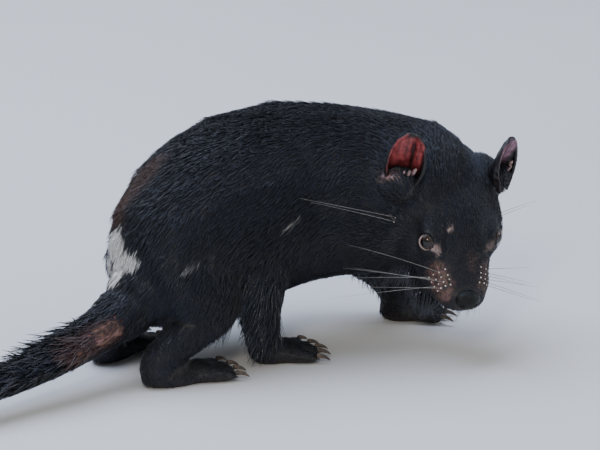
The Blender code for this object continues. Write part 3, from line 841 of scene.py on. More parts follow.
@dataclass(frozen=True)
class EarFinish:
    """Thin ear skin: veined red inside, with painted shade in its fold and at the foot of its cup, black at
    the rim and behind.
    """

    side: str
    low: str
    high: str
    outside: str = "#0f0d10"
    # Near-black of the painted shade in the fold and at the foot of the cup, which also draws the veins.
    shade_and_veins: str = "#150607"

    def material(self) -> Material:
        """Builds the ear's material."""
        material, shader = new_material(f"ear_skin_{self.side}")
        cloud = noise(material, object_place(material), 4.0, 5.0)
        flesh = ramp(material, cloud, (0.32, self.low), (0.68, self.high))
        # Painted shade darkens the fold and the foot of the cup; the veins take the same dark colour.
        flesh = mixed(material, read_attribute(material, "shade_and_veins"), flesh, linear(self.shade_and_veins))
        colour = mixed(material, read_attribute(material, "cup"), linear(self.outside), flesh)
        bump = add_node(material, "Bump", {"Strength": 0.4, "Distance": 0.0005, "Height": cloud})
        set_inputs(material, shader, {
            "Base Color": colour,
            "Normal": bump.outputs[0],
            "Roughness": 0.42,
            "Subsurface Weight": 0.1,
            "Subsurface Radius": (0.004, 0.0015, 0.001),
        })
        return material


NOSE_FINISH = PlainFinish("nose_leather_black_green", "#040505", "#0f1311", 3.0, 0.6, 0.42, 0.8, 0.05, 0.25)
CLAW_FINISH = PlainFinish("claw_horn", "#3a3029", "#6d5d4c", 3.0, 1.0, 0.38, 0.1, 0.15)
LOBE_FINISH = PlainFinish("ear_fold_skin", "#4a2b2c", "#a98c8a", 2.5, 0.8, 0.36, 0.2, 0.3)
WHISKER_PALE = PlainFinish("whisker_pale", "#8d8a86", "#b9b5ae", 8.0, 2.0, 0.35, 0.0)
WHISKER_DARK = PlainFinish("whisker_dark", "#141315", "#2a282b", 8.0, 2.0, 0.35, 0.0)
BED_FINISH = PlainFinish("whisker_bed_skin", "#c9bcb2", "#ece6de", 2.0, 0.6, 0.5, 0.1)
FLOOR_FINISH = PlainFinish("studio_floor", "#dcdad6", "#e2e0dc", 900.0, 40.0, 0.8, 0.0)


@dataclass(frozen=True)
class EarPlace:
    """Where one ear stands, in the head's frame, with sizes in millimetres.

    A furred mound of skin closes the foot of its cup. The mound's middle lies below the ear's base
    and ahead of it, and its radii run across, forward and up.
    """

    side: str
    base: tuple[float, float, float]
    axis: tuple[float, float, float]
    opening: tuple[float, float, float]
    tall: float
    mound_below: float
    mound_ahead: float
    mound_radii: tuple[float, float, float]
    fold_size: float
    finish: EarFinish

    def axes(self) -> tuple[Vector, Vector, Vector, Vector]:
        """The base's place, the way up, the way that the cup faces and the way across."""
        axis = (HEAD_TURN @ Vector(self.axis)).normalized()
        opening = HEAD_TURN @ Vector(self.opening)
        opening = (opening - axis * opening.dot(axis)).normalized()
        return from_head(self.base), axis, opening, axis.cross(opening)


EARS = (
    EarPlace(
        "right", base=(3, -48, 31), axis=(-0.36, 0.03, 0.91), opening=(0.76, -0.45, 0.30), tall=0.95,
        mound_below=4.5, mound_ahead=4.5, mound_radii=(15.5, 11.5, 15.0), fold_size=1.0,
        finish=EarFinish("right", "#6d2023", "#a9494a"),
    ),
    EarPlace(
        "left", base=(-2, 45, 21), axis=(-0.28, 0.24, 0.93), opening=(0.75, 0.60, 0.25), tall=0.80,
        mound_below=7.0, mound_ahead=1.5, mound_radii=(12.5, 9.0, 14.0), fold_size=0.6,
        finish=EarFinish("left", "#6a3d49", "#a1768a"),
    ),
)


def ellipsoid(name: str, centre: Vector, ways: tuple[Vector, ...], radii: tuple[float, ...]) -> Object:
    """A closed ellipsoid.

    Args:
        name: Its name.
        centre: Its middle, in metres.
        ways: Its three axes, as unit vectors.
        radii: Its half size along each, in millimetres.

    Returns:
        The object, with its place in its mesh.
    """
    deselect()
    bpy.ops.mesh.primitive_uv_sphere_add(segments=32, ring_count=20, radius=1.0, location=(0, 0, 0))
    obj = bpy.context.object
    obj.name = name
    scaled = [way * size * MM for way, size in zip(ways, radii)]
    set_points(obj.data, points_of(obj.data) @ np.array(scaled, float) + np.array(centre))
    return obj


def tube(name: str, stations: tuple[tuple[float, float, float, float], ...]) -> Object:
    """A round tube, made from a curve with a bevel.

    Args:
        name: Its name.
        stations: Centre and radius of each, in the body's frame, in millimetres.

    Returns:
        The object, as a mesh.
    """
    data = bpy.data.curves.new(name, "CURVE")
    data.dimensions = "3D"
    data.bevel_depth = 1.0
    data.bevel_resolution = 8
    data.use_fill_caps = True
    line = data.splines.new("NURBS")
    line.points.add(len(stations) - 1)
    line.order_u = 3
    line.use_endpoint_u = True
    for point, (*centre, radius) in zip(line.points, stations):
        point.co = (*from_body(centre), 1.0)
        point.radius = radius * MM
    activate(linked(name, data))
    bpy.ops.object.convert(target="MESH")
    return bpy.context.object


@dataclass
class Skin:
    """The one skin that takes the place of the flesh nodes."""

    coat_map: CoatMap
    voxel: float = 1.3 * MM
    quick_voxel: float = 2.2 * MM
    swell: float = 0.25 * MM
    smooth_steps: int = 5
    sole_height: float = 3 * MM
    sole_feather: float = 10 * MM
    toe_length: float = 23 * MM
    toe_gap: float = 1.5 * MM
    toe_groove: float = 3.0 * MM
    toe_fade: float = 1.6
    toe_low: float = 1 * MM
    toe_high: float = 24 * MM
    most_triangles: int = 190_000
    face_middle: tuple[float, float, float] = (40, 0, -10)
    face_reach: float = 75 * MM
    face_thinning: float = 0.35
    obj: Object | None = None

    def build(self) -> Object:
        """Fuses the flesh nodes, smooths them and sinks them by the coat's depth.

        Returns:
            The finished skin.
        """
        parts = [merged_copy(node, "skin_part", self.swell) for node in FLESH if node not in LOCKED]
        parts += [tube("tail_core", TAIL_CORE), tube("forearm_core", FOREARM_CORE)]
        parts += [self.ear_mound(place) for place in EARS]
        self.obj = join("skin", parts)
        size = self.voxel
        apply_modifier(self.obj, "REMESH", mode="VOXEL", voxel_size=size, adaptivity=0.0)
        keep_main_shell(self.obj)
        apply_modifier(self.obj, "SMOOTH", factor=0.5, iterations=self.smooth_steps)
        self.sink()
        self.part_toes()
        self.thin()
        for mark, values in self.coat_map.marks(points_of(self.obj.data)).items():
            set_attribute(self.obj.data, mark.value, values)
        self.unwrap()
        return finish(self.obj, SkinFinish().material(), Slot.COAT, *FLESH)

    @staticmethod
    def ear_mound(place: EarPlace) -> Object:
        """The furred mound of skin that closes the foot of one ear's cup."""
        base, axis, opening, across = place.axes()
        centre = base - axis * place.mound_below * MM + opening * place.mound_ahead * MM
        return ellipsoid("ear_mound", centre, (-across, opening, axis), place.mound_radii)

    def sink(self) -> None:
        """Pulls the surface in by the depth of the coat that will lie over it."""
        mesh = self.obj.data
        points, normals = points_of(mesh), normals_of(mesh)
        _, sizes = self.coat_map.read(points)
        sunk = sizes[:, 1] * (1 - self.coat_map.marks(points)[Mark.BARE])
        above_sole = np.clip((points[:, 2] - self.sole_height) / self.sole_feather, 0, 1)
        points -= normals * (sunk * above_sole)[:, None]
        points[:, 2] = np.maximum(points[:, 2], 0)
        set_points(mesh, points)

    def part_toes(self) -> None:
        """Presses a groove between every two toes, back from between their claws."""
        mesh = self.obj.data
        points, normals = points_of(mesh), normals_of(mesh)
        flat = points[:, :2]
        near_toes = (points[:, 2] < self.toe_high) * (points[:, 2] > self.toe_low)
        depth = np.zeros(len(points))
        for foot, count in TOES.items():
            middle = np.array(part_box(foot), float).mean(0)[:2]
            claws = [np.array(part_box(f"claw_{foot}_{k + 1}"), float).mean(0)[:2] for k in range(count)]
            for one, other in zip(claws[:-1], claws[1:]):
                front = (one + other) / 2
                back = front + unit((middle - front)[None])[0] * self.toe_length
                gap = distance(flat, np.array((front, back)))
                along = np.linalg.norm(flat - back, axis=1) / self.toe_length
                groove = np.exp(-((gap / self.toe_gap) ** 2)) * np.clip(along * self.toe_fade, 0, 1)
                depth = np.maximum(depth, groove * near_toes)
        set_points(mesh, points - normals * (depth * self.toe_groove)[:, None])

    def thin(self) -> None:
        """Brings the face count down, least on the head."""
        mesh = self.obj.data
        triangles = sum(len(p.vertices) - 2 for p in mesh.polygons)
        if triangles <= self.most_triangles:
            return
        group = self.obj.vertex_groups.new(name="coarse")
        middle = np.array(from_head(self.face_middle))
        on_face = np.linalg.norm(points_of(mesh) - middle, axis=1) < self.face_reach
        for chosen, weight in ((on_face, self.face_thinning), (~on_face, 1.0)):
            group.add(np.nonzero(chosen)[0].tolist(), weight, "REPLACE")
        apply_modifier(
            self.obj, "DECIMATE", ratio=self.most_triangles / triangles,
            vertex_group="coarse", use_collapse_triangulate=True,
        )
        self.obj.vertex_groups.clear()

    def unwrap(self) -> None:
        """Unwraps the skin by its own shape."""
        activate(self.obj)
        bpy.ops.object.mode_set(mode="EDIT")
        bpy.ops.mesh.select_all(action="SELECT")
        bpy.ops.uv.smart_project(angle_limit=math.radians(70), island_margin=0.002)
        bpy.ops.object.mode_set(mode="OBJECT")


@dataclass
class Roots:
    """Where tufts grow: places, normals and places on the skin's unwrap."""

    places: Array
    normals: Array
    flat: Array

    def only(self, chosen: Array) -> "Roots":
        """The chosen roots alone."""
        return Roots(self.places[chosen], self.normals[chosen], self.flat[chosen])


@dataclass
class Growth:
    """How each tuft of a piece grows, with one row or value for each, in metres.

    The steps are the shares of the length at which a tuft has a ring, and the girths are the
    shares of its width there. It rises by its bow and droops by its own weight.
    """

    lie: Array
    length: Array
    width: Array
    rise: Array
    tone: Array
    droop: float = 0.0
    bow: float = 1.8
    steps: tuple[float, ...] = (0.0, 0.34, 0.7)
    girth: tuple[float, ...] = (0.9, 1.0, 0.62)


@dataclass(frozen=True)
class WetZone:
    """A stretch of the body where the coat hangs in wet locks, in the body's frame, in millimetres.

    The lift is a share of each lock's length, and the droop a share of its fall.
    """

    path: tuple[tuple[float, float, float], ...]
    radius: float
    faces: tuple[float, float, float]
    least_facing: float
    lie: tuple[float, float, float]
    count: int
    length: tuple[float, float]
    lift: tuple[float, float]
    width: tuple[float, float]
    droop: float


# The tail, the top of its root, the right forearm, the belly, the left forearm and the throat.
WET_ZONES = (
    WetZone(
        ((-78, -38, 40), (-128, -51, 31), (-200, -65, 22), (-230, -71, 20)),
        radius=26, faces=(0.0, 0.1, 1.0), least_facing=-0.55, lie=(-0.93, -0.2, 0.06),
        count=700, length=(15, 28), lift=(0.14, 0.6), width=(1.0, 2.1), droop=0.06,
    ),
    WetZone(
        ((-56, -40, 52), (-80, -44, 44)),
        radius=22, faces=(0.0, 0.6, 1.0), least_facing=0.1, lie=(-0.95, -0.25, -0.05),
        count=160, length=(12, 22), lift=(0.08, 0.34), width=(0.9, 1.6), droop=0.06,
    ),
    WetZone(
        ((84, -56, 72), (84, -64, 52), (88, -64, 34)),
        radius=22, faces=(-0.5, -1.0, 0.0), least_facing=-0.1, lie=(-0.55, -0.15, -0.72),
        count=320, length=(9, 17), lift=(0.24, 0.7), width=(0.8, 1.5), droop=0.2,
    ),
    WetZone(
        ((46, -56, 52), (62, -50, 50), (76, -40, 48)),
        radius=15, faces=(0.1, -0.3, -1.0), least_facing=-0.1, lie=(0.12, 0.0, -1.0),
        count=100, length=(12, 24), lift=(0.05, 0.25), width=(0.8, 1.2), droop=0.3,
    ),
    WetZone(
        ((206, 6, 62), (232, -4, 42)),
        radius=17, faces=(-0.3, -0.6, -0.6), least_facing=0.0, lie=(-0.1, -0.2, -0.95),
        count=110, length=(8, 14), lift=(0.1, 0.35), width=(0.8, 1.2), droop=0.25,
    ),
    WetZone(
        ((212, -74, 77), (220, -88, 67), (228, -101, 57), (257, -107, 57), (282, -89, 77)),
        radius=13, faces=(-0.2, 0.0, -1.0), least_facing=-0.2, lie=(-0.35, 0.25, -0.9),
        count=860, length=(11, 24), lift=(0.1, 0.5), width=(0.7, 1.1), droop=0.35,
    ),
)
DRY_FUR = FurFinish("guard_hair_black", 0.36, 0.0)
# The wet locks' light colour is a painted glint: it paints the tips of the high-toned locks pale grey, where
# wet hair catches the light.
WET_FUR = FurFinish("guard_hair_wet_painted_glint", 0.28, 0.5, light="#3c4049")


@dataclass
class Coat:
    """The coat of small tapered tufts."""

    coat_map: CoatMap
    skin: Object
    seed: int = 41
    tuft_count: int = 86_000
    quick_count: int = 30_000
    piece_tufts: int = 12_000
    root_depth: float = 0.7 * MM
    ridge: float = 0.34
    bake_patch: float = 0.003
    bald_height: float = 4 * MM
    bald_feather: float = 3 * MM
    wet_tail: float = -60 * MM
    wet_tail_feather: float = 30 * MM
    wet_elbow: tuple[float, float, float] = (84.6, -52, 58)
    wet_elbow_reach: float = 18 * MM
    wet_elbow_feather: float = 20 * MM

    def build(self) -> list[Object]:
        """Grows every tuft and every wet lock.

        Returns:
            The coat's pieces.
        """
        rng = np.random.default_rng(self.seed)
        roots = self.sample(rng, self.tuft_count, self.fur_density)
        material = DRY_FUR.material()
        order = np.argsort(roots.places[:, 0], kind="stable")
        made = []
        for k, start in enumerate(range(0, len(order), self.piece_tufts)):
            part = roots.only(order[start:start + self.piece_tufts])
            made.append(finish(self.tufts(f"coat_{k + 1}", part, self.lay(part, rng)), material, Slot.COAT))
        wet = WET_FUR.material()
        for k, zone in enumerate(WET_ZONES):
            part = self.sample(rng, zone.count, lambda p, n, zone=zone: self.zone_density(zone, p, n))
            locks = self.tufts(f"wet_locks_{k + 1}", part, self.hang(zone, part, rng))
            made.append(finish(locks, wet, Slot.COAT))
        return made

    def sample(self, rng: Chance, count: int, density: Callable) -> Roots:
        """Spreads roots over the skin.

        Args:
            rng: The seeded source of chance.
            count: About how many roots.
            density: Gives, for rows of places and normals, how thickly the roots stand.

        Returns:
            The roots.
        """
        mesh = self.skin.data
        mesh.calc_loop_triangles()
        corners = rows_of(mesh.loop_triangles, "vertices", number=np.int32)
        loops = rows_of(mesh.loop_triangles, "loops", number=np.int32)
        flat = rows_of(mesh.uv_layers.active.data, "uv", 2)
        points, normals = points_of(mesh), normals_of(mesh)
        a, b, c = (points[corners[:, k]] for k in range(3))
        area = np.linalg.norm(np.cross(b - a, c - a), axis=1) / 2
        wanted = area * density((a + b + c) / 3, normals[corners[:, 0]])
        wanted *= count / wanted.sum()
        number = np.floor(wanted + rng.random(len(corners))).astype(int)
        face = np.repeat(np.arange(len(corners)), number)
        r1, r2 = np.sqrt(rng.random(len(face))), rng.random(len(face))
        shares = np.stack([1 - r1, r1 * (1 - r2), r1 * r2], 1)[:, :, None]
        return Roots(
            (points[corners[face]] * shares).sum(1),
            unit((normals[corners[face]] * shares).sum(1)),
            (flat[loops[face]] * shares).sum(1),
        )

    def fur_density(self, points: Array, normals: Array) -> Array:
        """How thickly fur grows at each place: closer where it is short, none where skin is bare."""
        _, sizes = self.coat_map.read(points)
        marks = self.coat_map.marks(points)
        grows = 1 - 0.8 * marks[Mark.BARE]
        grows *= 1 - 0.7 * marks[Mark.FACE]
        grows *= 1 + 0.6 * marks[Mark.PALE]
        local = in_head(points)
        for side in (1, -1):
            grows *= EYE_CLEARING.share(local, side)
            grows *= MOUTH_CLEARING.share(local, side)
        grows *= NOSE_CLEARING.share(local)
        grows *= np.clip((points[:, 2] - self.bald_height) / self.bald_feather, 0, 1)
        return grows / (sizes[:, 0] * sizes[:, 2]) ** 0.62

    @staticmethod
    def zone_density(zone: WetZone, points: Array, normals: Array) -> Array:
        """How thickly the locks of one wet zone stand at each place."""
        path = np.array([from_body(p) for p in zone.path], float)
        near = np.clip((zone.radius * MM - distance(points, path)) / (6 * MM), 0, 1)
        facing = normals @ np.array(Vector(zone.faces).normalized())
        return near * np.clip((facing - zone.least_facing) / 0.4, 0, 1)

    def lay(self, roots: Roots, rng: Chance) -> Growth:
        """How the fur lies at its roots: along the guides, in soft swirls."""
        count = len(roots.places)
        lie, sizes = self.coat_map.read(roots.places)
        swirl = ripple(roots.places, 30 * MM) * 0.12 + ripple(roots.places, 12 * MM, 1.0) * 0.10
        swirl = swirl + rng.normal(0, 0.09, count)
        wet = self.wetness(roots.places)
        tone = np.clip(rng.normal(0.5, 0.2, count) + ripple(roots.places, 30 * MM, 3.0) * 0.12, 0, 1)
        return Growth(
            self.turned(lie, roots.normals, swirl),
            sizes[:, 0] * rng.uniform(0.7, 1.25, count),
            sizes[:, 2] * rng.uniform(0.7, 1.2, count) * (1 + 0.5 * wet),
            sizes[:, 1] * rng.uniform(0.55, 1.15, count) * (1 + 0.45 * wet),
            tone,
        )

    def hang(self, zone: WetZone, roots: Roots, rng: Chance) -> Growth:
        """How one zone's wet locks hang: in clumps, standing off the skin and drooping."""
        count = len(roots.places)
        lie = np.tile(np.array(Vector(zone.lie).normalized()), (count, 1))
        spread = ripple(roots.places, 14 * MM, 2.0) * 0.30 + rng.normal(0, 0.16, count)
        length = rng.uniform(*zone.length, count) * MM
        return Growth(
            self.turned(lie, roots.normals, spread),
            length,
            rng.uniform(*zone.width, count) * MM,
            length * rng.uniform(*zone.lift, count),
            # The tone sets how strongly each lock's tip carries the painted glint.
            np.clip(rng.normal(0.32, 0.3, count), 0, 1),
            droop=zone.droop,
            bow=1.05,
            steps=(0.0, 0.2, 0.42, 0.64, 0.84),
            girth=(0.8, 1.0, 0.82, 0.56, 0.3),
        )

    @staticmethod
    def turned(lie: Array, normals: Array, angle: Array) -> Array:
        """The lie's directions, laid flat on the skin and each turned about its normal."""
        lie = unit(lie - normals * (lie * normals).sum(1, keepdims=True))
        across = np.cross(normals, lie)
        return lie * np.cos(angle)[:, None] + across * np.sin(angle)[:, None]

    def tufts(self, name: str, roots: Roots, growth: Growth) -> Object:
        """Makes one mesh of closed, three-sided, tapering tufts.

        Args:
            name: The piece's name.
            roots: Where they grow.
            growth: How they grow.

        Returns:
            The linked object.
        """
        count = len(roots.places)
        lie, normal = growth.lie, roots.normals
        across = np.cross(normal, lie)

        def middle(t: float) -> Array:
            """The middle of every tuft at that share of its length."""
            height = growth.rise * (1 - (1 - t) ** growth.bow) - self.root_depth * (1 - t) ** 2
            centre = roots.places + lie * (growth.length * t)[:, None] + normal * height[:, None]
            centre[:, 2] -= growth.length * growth.droop * t * t
            return centre

        rings = []
        for t, girth in zip(growth.steps, growth.girth):
            centre = middle(t)
            half = across * (growth.width * girth / 2)[:, None]
            ridge = normal * (growth.width * girth * self.ridge)[:, None]
            rings.append(np.stack([centre - half, centre + ridge, centre + half], 1))
        block = np.concatenate([np.concatenate(rings, 1), middle(1.0)[:, None]], 1)
        points = block.reshape(-1, 3)
        points[:, 2] = np.maximum(points[:, 2], 0.2 * MM)
        faces = [(2, 1, 0)]
        for k in range(len(growth.steps) - 1):
            for j in range(3):
                p, q = k * 3 + j, k * 3 + (j + 1) % 3
                faces += [(p, q, q + 3), (p, q + 3, p + 3)]
        last = (len(growth.steps) - 1) * 3
        faces += [(last + j, last + (j + 1) % 3, last + 3) for j in range(3)]
        size = last + 4
        all_faces = (np.array(faces)[None] + (np.arange(count) * size)[:, None, None]).reshape(-1, 3)
        mesh = self.mesh_of(name, points, all_faces)
        along = np.append(np.repeat(growth.steps, 3), 1.0)
        # The tip share lightens each tuft towards its tip; on the wet locks that lighter tip is a painted
        # glint.
        set_attribute(mesh, "tip", np.tile(0.25 + 0.75 * along, count))
        set_attribute(mesh, "tone", np.repeat(growth.tone, size))
        for mark, values in self.coat_map.marks(roots.places).items():
            set_attribute(mesh, mark.value, np.repeat(values, size))
        self.flatten(mesh, roots.flat, along, size)
        return linked(name, mesh)

    def wetness(self, points: Array) -> Array:
        """How wet and spiky the coat is at each place, from 0 to 1."""
        tail = np.clip((BODY_SHIFT.x + self.wet_tail - points[:, 0]) / self.wet_tail_feather, 0, 1)
        gap = np.linalg.norm(points - np.array(from_body(self.wet_elbow)), axis=1)
        arm = 1 - np.clip((gap - self.wet_elbow_reach) / self.wet_elbow_feather, 0, 1)
        return np.maximum(tail, arm)

    @staticmethod
    def mesh_of(name: str, points: Array, faces: Array) -> Mesh:
        """A mesh of triangles."""
        mesh = bpy.data.meshes.new(name)
        mesh.vertices.add(len(points))
        mesh.vertices.foreach_set("co", points.astype(np.float32).ravel())
        mesh.loops.add(faces.size)
        mesh.loops.foreach_set("vertex_index", faces.astype(np.int32).ravel())
        mesh.polygons.add(len(faces))
        mesh.polygons.foreach_set("loop_start", np.arange(0, faces.size, 3, dtype=np.int32))
        mesh.polygons.foreach_set("loop_total", np.full(len(faces), 3, np.int32))
        mesh.update(calc_edges=True)
        mesh.validate()
        return mesh

    def flatten(self, mesh: Mesh, flat: Array, along: Array, size: int) -> None:
        """Gives each tuft its small patch of the bake map, at its root's place on the unwrap.

        Args:
            mesh: The tufts' mesh.
            flat: Each root's place on the skin's unwrap.
            along: How far along the tuft each of its vertices lies.
            size: Vertices in a tuft.
        """
        side = np.array([-0.5, 0.0, 0.5] * (size // 3) + [0.0])
        patch = np.stack([side, along - 0.5], 1) * self.bake_patch
        spots = (flat[:, None] + patch[None]).reshape(-1, 2)
        index = rows_of(mesh.loops, "vertex_index", 1, np.int32)[:, 0]
        mesh.uv_layers.new(name="OFBake").data.foreach_set("uv", spots[index].astype(np.float32).ravel())


@dataclass
class Eye:
    """One eyeball with its clear front, and the bare rim of its lids. Side 1 is the left one."""

    side: int
    radius: float = 8.6 * MM
    place: tuple[float, float, float] = (48, 28, 8)
    looks: tuple[float, float, float] = (0.56, 0.73, 0.38)
    clear_from: float = 0.78
    clear_span: float = 0.22
    clear_bulge: float = 0.55 * MM
    rim_way: tuple[float, float, float] = (0.62, 0, -0.78)
    rim_half_wide: float = 6.9 * MM
    rim_half_high: float = 5.3 * MM
    rim_thick: float = 9.0 * MM
    rim_bed: float = 0.2 * MM
    pinch_high: float = 0.25
    pinch_thick: float = 0.35

    @property
    def name(self) -> str:
        """The side's name."""
        return "left" if self.side > 0 else "right"

    def build(self) -> list[Object]:
        """Makes the eyeball and the lid rim."""
        x, y, z = self.place
        centre = from_head((x, y * self.side, z))
        x, y, z = self.looks
        axis = (HEAD_TURN @ Vector((x, y * self.side, z))).normalized()
        return [self.ball(centre, axis), self.rim(centre, axis)]

    def ball(self, centre: Vector, axis: Vector) -> Object:
        """A sphere whose front swells a little."""
        deselect()
        bpy.ops.mesh.primitive_uv_sphere_add(segments=48, ring_count=32, radius=self.radius, location=centre)
        obj = bpy.context.object
        obj.name = f"eyeball_{self.name}"
        settle(obj)
        points = points_of(obj.data)
        ways = unit(points - np.array(centre))
        front = np.clip((ways @ np.array(axis) - self.clear_from) / self.clear_span, 0, 1)
        set_points(obj.data, points + ways * (front ** 0.8 * self.clear_bulge)[:, None])
        material = EyeFinish(centre, axis).material(f"eye_brown_{self.name}")
        return finish(obj, material, Slot.EYE, f"eye_{self.name}")

    def rim(self, centre: Vector, axis: Vector) -> Object:
        """An oval of bare skin that lies on the ball, pinched at the eye's corners."""
        deselect()
        bpy.ops.mesh.primitive_torus_add(
            major_segments=64, minor_segments=14, major_radius=1.0, minor_radius=0.105, location=(0, 0, 0)
        )
        obj = bpy.context.object
        obj.name = f"lid_rim_{self.name}"
        up = axis.cross(HEAD_TURN @ Vector(self.rim_way)).normalized()
        turn = np.array((up.cross(axis).normalized(), up, axis), float)
        local = points_of(obj.data)
        ring = unit(local * (1, 1, 0))
        lift = np.linalg.norm(local[:, :2], axis=1) - 1
        pinch = np.abs(ring[:, 0]) ** 3
        high = self.rim_half_high * (1 - self.pinch_high * pinch)
        thick = self.rim_thick * (1 - self.pinch_thick * pinch)
        flat = np.stack([ring[:, 0] * self.rim_half_wide, ring[:, 1] * high], 1)
        reach = np.linalg.norm(flat, axis=1)
        depth = np.sqrt(np.maximum((self.radius + self.rim_bed) ** 2 - reach ** 2, 0))
        flat += ring[:, :2] * (lift * thick)[:, None]
        height = depth + local[:, 2] * thick - self.rim_bed
        set_points(obj.data, np.array(centre) + flat @ turn[:2] + height[:, None] * turn[2])
        pale = 0.5 + 0.75 * (ring[:, 0] * 0.6 + ring[:, 1] * 0.8 * self.side)
        set_attribute(obj.data, "pale_side", np.clip(pale, 0, 1))
        return finish(obj, LidFinish().material(), Slot.EAR)


@dataclass
class NosePad:
    """The bare, grooved nose pad. The groove's place and half width are in millimetres."""

    voxel: float = 0.45 * MM
    groove_half: float = 0.7
    groove_top: float = -9
    groove_fade: float = 4
    groove_depth: float = 0.9 * MM

    def build(self) -> Object:
        """Refines the solid's form and presses the middle groove into it."""
        obj = merged_copy("nose_pad", "nose_leather")
        apply_modifier(obj, "REMESH", mode="VOXEL", voxel_size=self.voxel, adaptivity=0.0)
        apply_modifier(obj, "SMOOTH", factor=0.5, iterations=4)
        points, normals = points_of(obj.data), normals_of(obj.data)
        local = in_head(points)
        groove = np.exp(-((local[:, 1] / self.groove_half) ** 2))
        groove *= np.clip((self.groove_top - local[:, 2]) / self.groove_fade, 0, 1)
        set_points(obj.data, points - normals * (groove * self.groove_depth)[:, None])
        return finish(obj, NOSE_FINISH.material(), Slot.NOSE, "nose_pad")


@dataclass
class Ear:
    """One cupped ear, with the folds of skin at the foot of its cup.

    Each fold has its height over the ear's base, its place forward and aside, and its radii
    across, forward and up, in millimetres.
    """

    place: EarPlace
    height: float = 44 * MM
    width: float = 32 * MM
    voxel: float = 0.7 * MM
    cup_back: float = 2 * MM
    fold_at: float = 0.26
    fold_wide: float = 0.12
    crease_depth: float = 2.6 * MM
    folds: tuple[tuple, ...] = (
        (11.0, 0.5, 8.0, (1.7, 2.0, 4.6)),
        (10.0, 3.0, 4.2, (1.4, 1.6, 3.6)),
        (9.5, 3.6, 0.4, (1.2, 1.5, 3.0)),
    )

    def build(self) -> list[Object]:
        """Makes the leaf and its folds."""
        return [self.leaf(), self.folded()]

    def leaf(self) -> Object:
        """Refines the solid's form, creases its middle, marks its inside and paints shade into its crease
        and its foot.
        """
        side = self.place.side
        obj = merged_copy(f"ear_{side}", f"ear_leaf_{side}")
        apply_modifier(obj, "REMESH", mode="VOXEL", voxel_size=self.voxel, adaptivity=0.0)
        apply_modifier(obj, "SMOOTH", factor=0.5, iterations=3)
        points, normals = points_of(obj.data), normals_of(obj.data)
        base, axis, opening, across = (np.array(v) for v in self.place.axes())
        local = points - base
        up = (local @ axis) / self.height
        wide = (local @ across) / (self.width / 2)
        set_attribute(obj.data, "cup", self.cup(points, normals, up, wide))
        # The middle crease is painted dark as shade in the fold, and pressed in below.
        crease = np.exp(-(((wide - self.fold_at + 0.12 * up) / self.fold_wide) ** 2))
        crease *= np.clip((0.98 - up) * 4, 0, 1)
        # The foot of the cup, round the ear canal, is painted dark as shade.
        foot = np.clip(1.4 - up * 3.2, 0, 1)
        streaks = np.clip(ripple(np.stack([wide, up * 0.25, wide * 0], 1), 0.22, 1.0) * 0.5, 0, 0.45)
        set_attribute(obj.data, "shade_and_veins", np.clip(np.maximum(np.maximum(crease, foot), streaks), 0, 1))
        points -= opening * (crease * self.crease_depth)[:, None] * np.clip(up * 3, 0, 1)[:, None]
        points += axis * (np.maximum(local @ axis, 0) * (self.place.tall - 1))[:, None]
        set_points(obj.data, points)
        return finish(obj, self.place.finish.material(), Slot.EAR, f"ear_{side}")

    def cup(self, points: Array, normals: Array, up: Array, wide: Array) -> Array:
        """How far each place shows the ear's bare inside, which ends before the tip and both edges.

        Args:
            points: The leaf's vertices.
            normals: Their normals.
            up: Their height, as a share of the ear's.
            wide: Their place across it, from -1 to 1.

        Returns:
            One share for each place, from 0 to 1.
        """
        base, axis, opening, _ = (np.array(v) for v in self.place.axes())
        centre = base - opening * self.cup_back
        inward = (centre + axis * ((points - base) @ axis)[:, None]) - points
        inward = (inward * normals).sum(1) / np.maximum(np.linalg.norm(inward, axis=1), 1e-6)
        inside = np.clip(np.maximum(normals @ opening, inward) * 3 - 0.4, 0, 1)
        below_tip = np.clip((0.98 - up + ripple(points, 7 * MM) * 0.04) / 0.12, 0, 1)
        return inside * below_tip * np.clip((0.80 - wide) / 0.14, 0, 1) * np.clip((0.97 + wide) / 0.10, 0, 1)

    def folded(self) -> Object:
        """Small pale folds that stand round the dark ear canal."""
        base, axis, opening, across = self.place.axes()
        parts = []
        for up, out, aside, radii in self.folds:
            centre = base + axis * up * MM + opening * out * MM + across * aside * MM
            lean = (axis + across * 0.04 * aside).normalized()
            side = opening.cross(lean).normalized()
            sizes = [radius * self.place.fold_size for radius in radii]
            parts.append(ellipsoid("ear_fold", centre, (side, opening, lean), sizes))
        return finish(join(f"ear_folds_{self.place.side}", parts), LOBE_FINISH.material(), Slot.EAR)


@dataclass
class Claws:
    """The claws of one foot, rounded from the solids."""

    foot: str
    count: int
    swell: float = 0.12 * MM

    def build(self) -> Object:
        """Rounds each claw and joins them."""
        nodes = [f"claw_{self.foot}_{k + 1}" for k in range(self.count)]
        parts = [merged_copy(node, "claw_part", self.swell) for node in nodes]
        for part in parts:
            apply_modifier(part, "SUBSURF", levels=2, render_levels=2)
        return finish(join(f"claws_{self.foot}", parts), CLAW_FINISH.material(), Slot.CLAW, *nodes)


@dataclass(frozen=True)
class WhiskerSide:
    """How the whiskers of one side grow, with lengths in millimetres."""

    name: str
    side: int
    sweep: float
    pad_lengths: tuple[float, float]
    cheek_lengths: tuple[float, float]
    finish: PlainFinish


WHISKER_SIDES = (
    WhiskerSide("left", 1, 0.22, (40, 58), (34, 28), WHISKER_DARK),
    WhiskerSide("right", -1, -0.24, (66, 92), (92, 84), WHISKER_PALE),
)


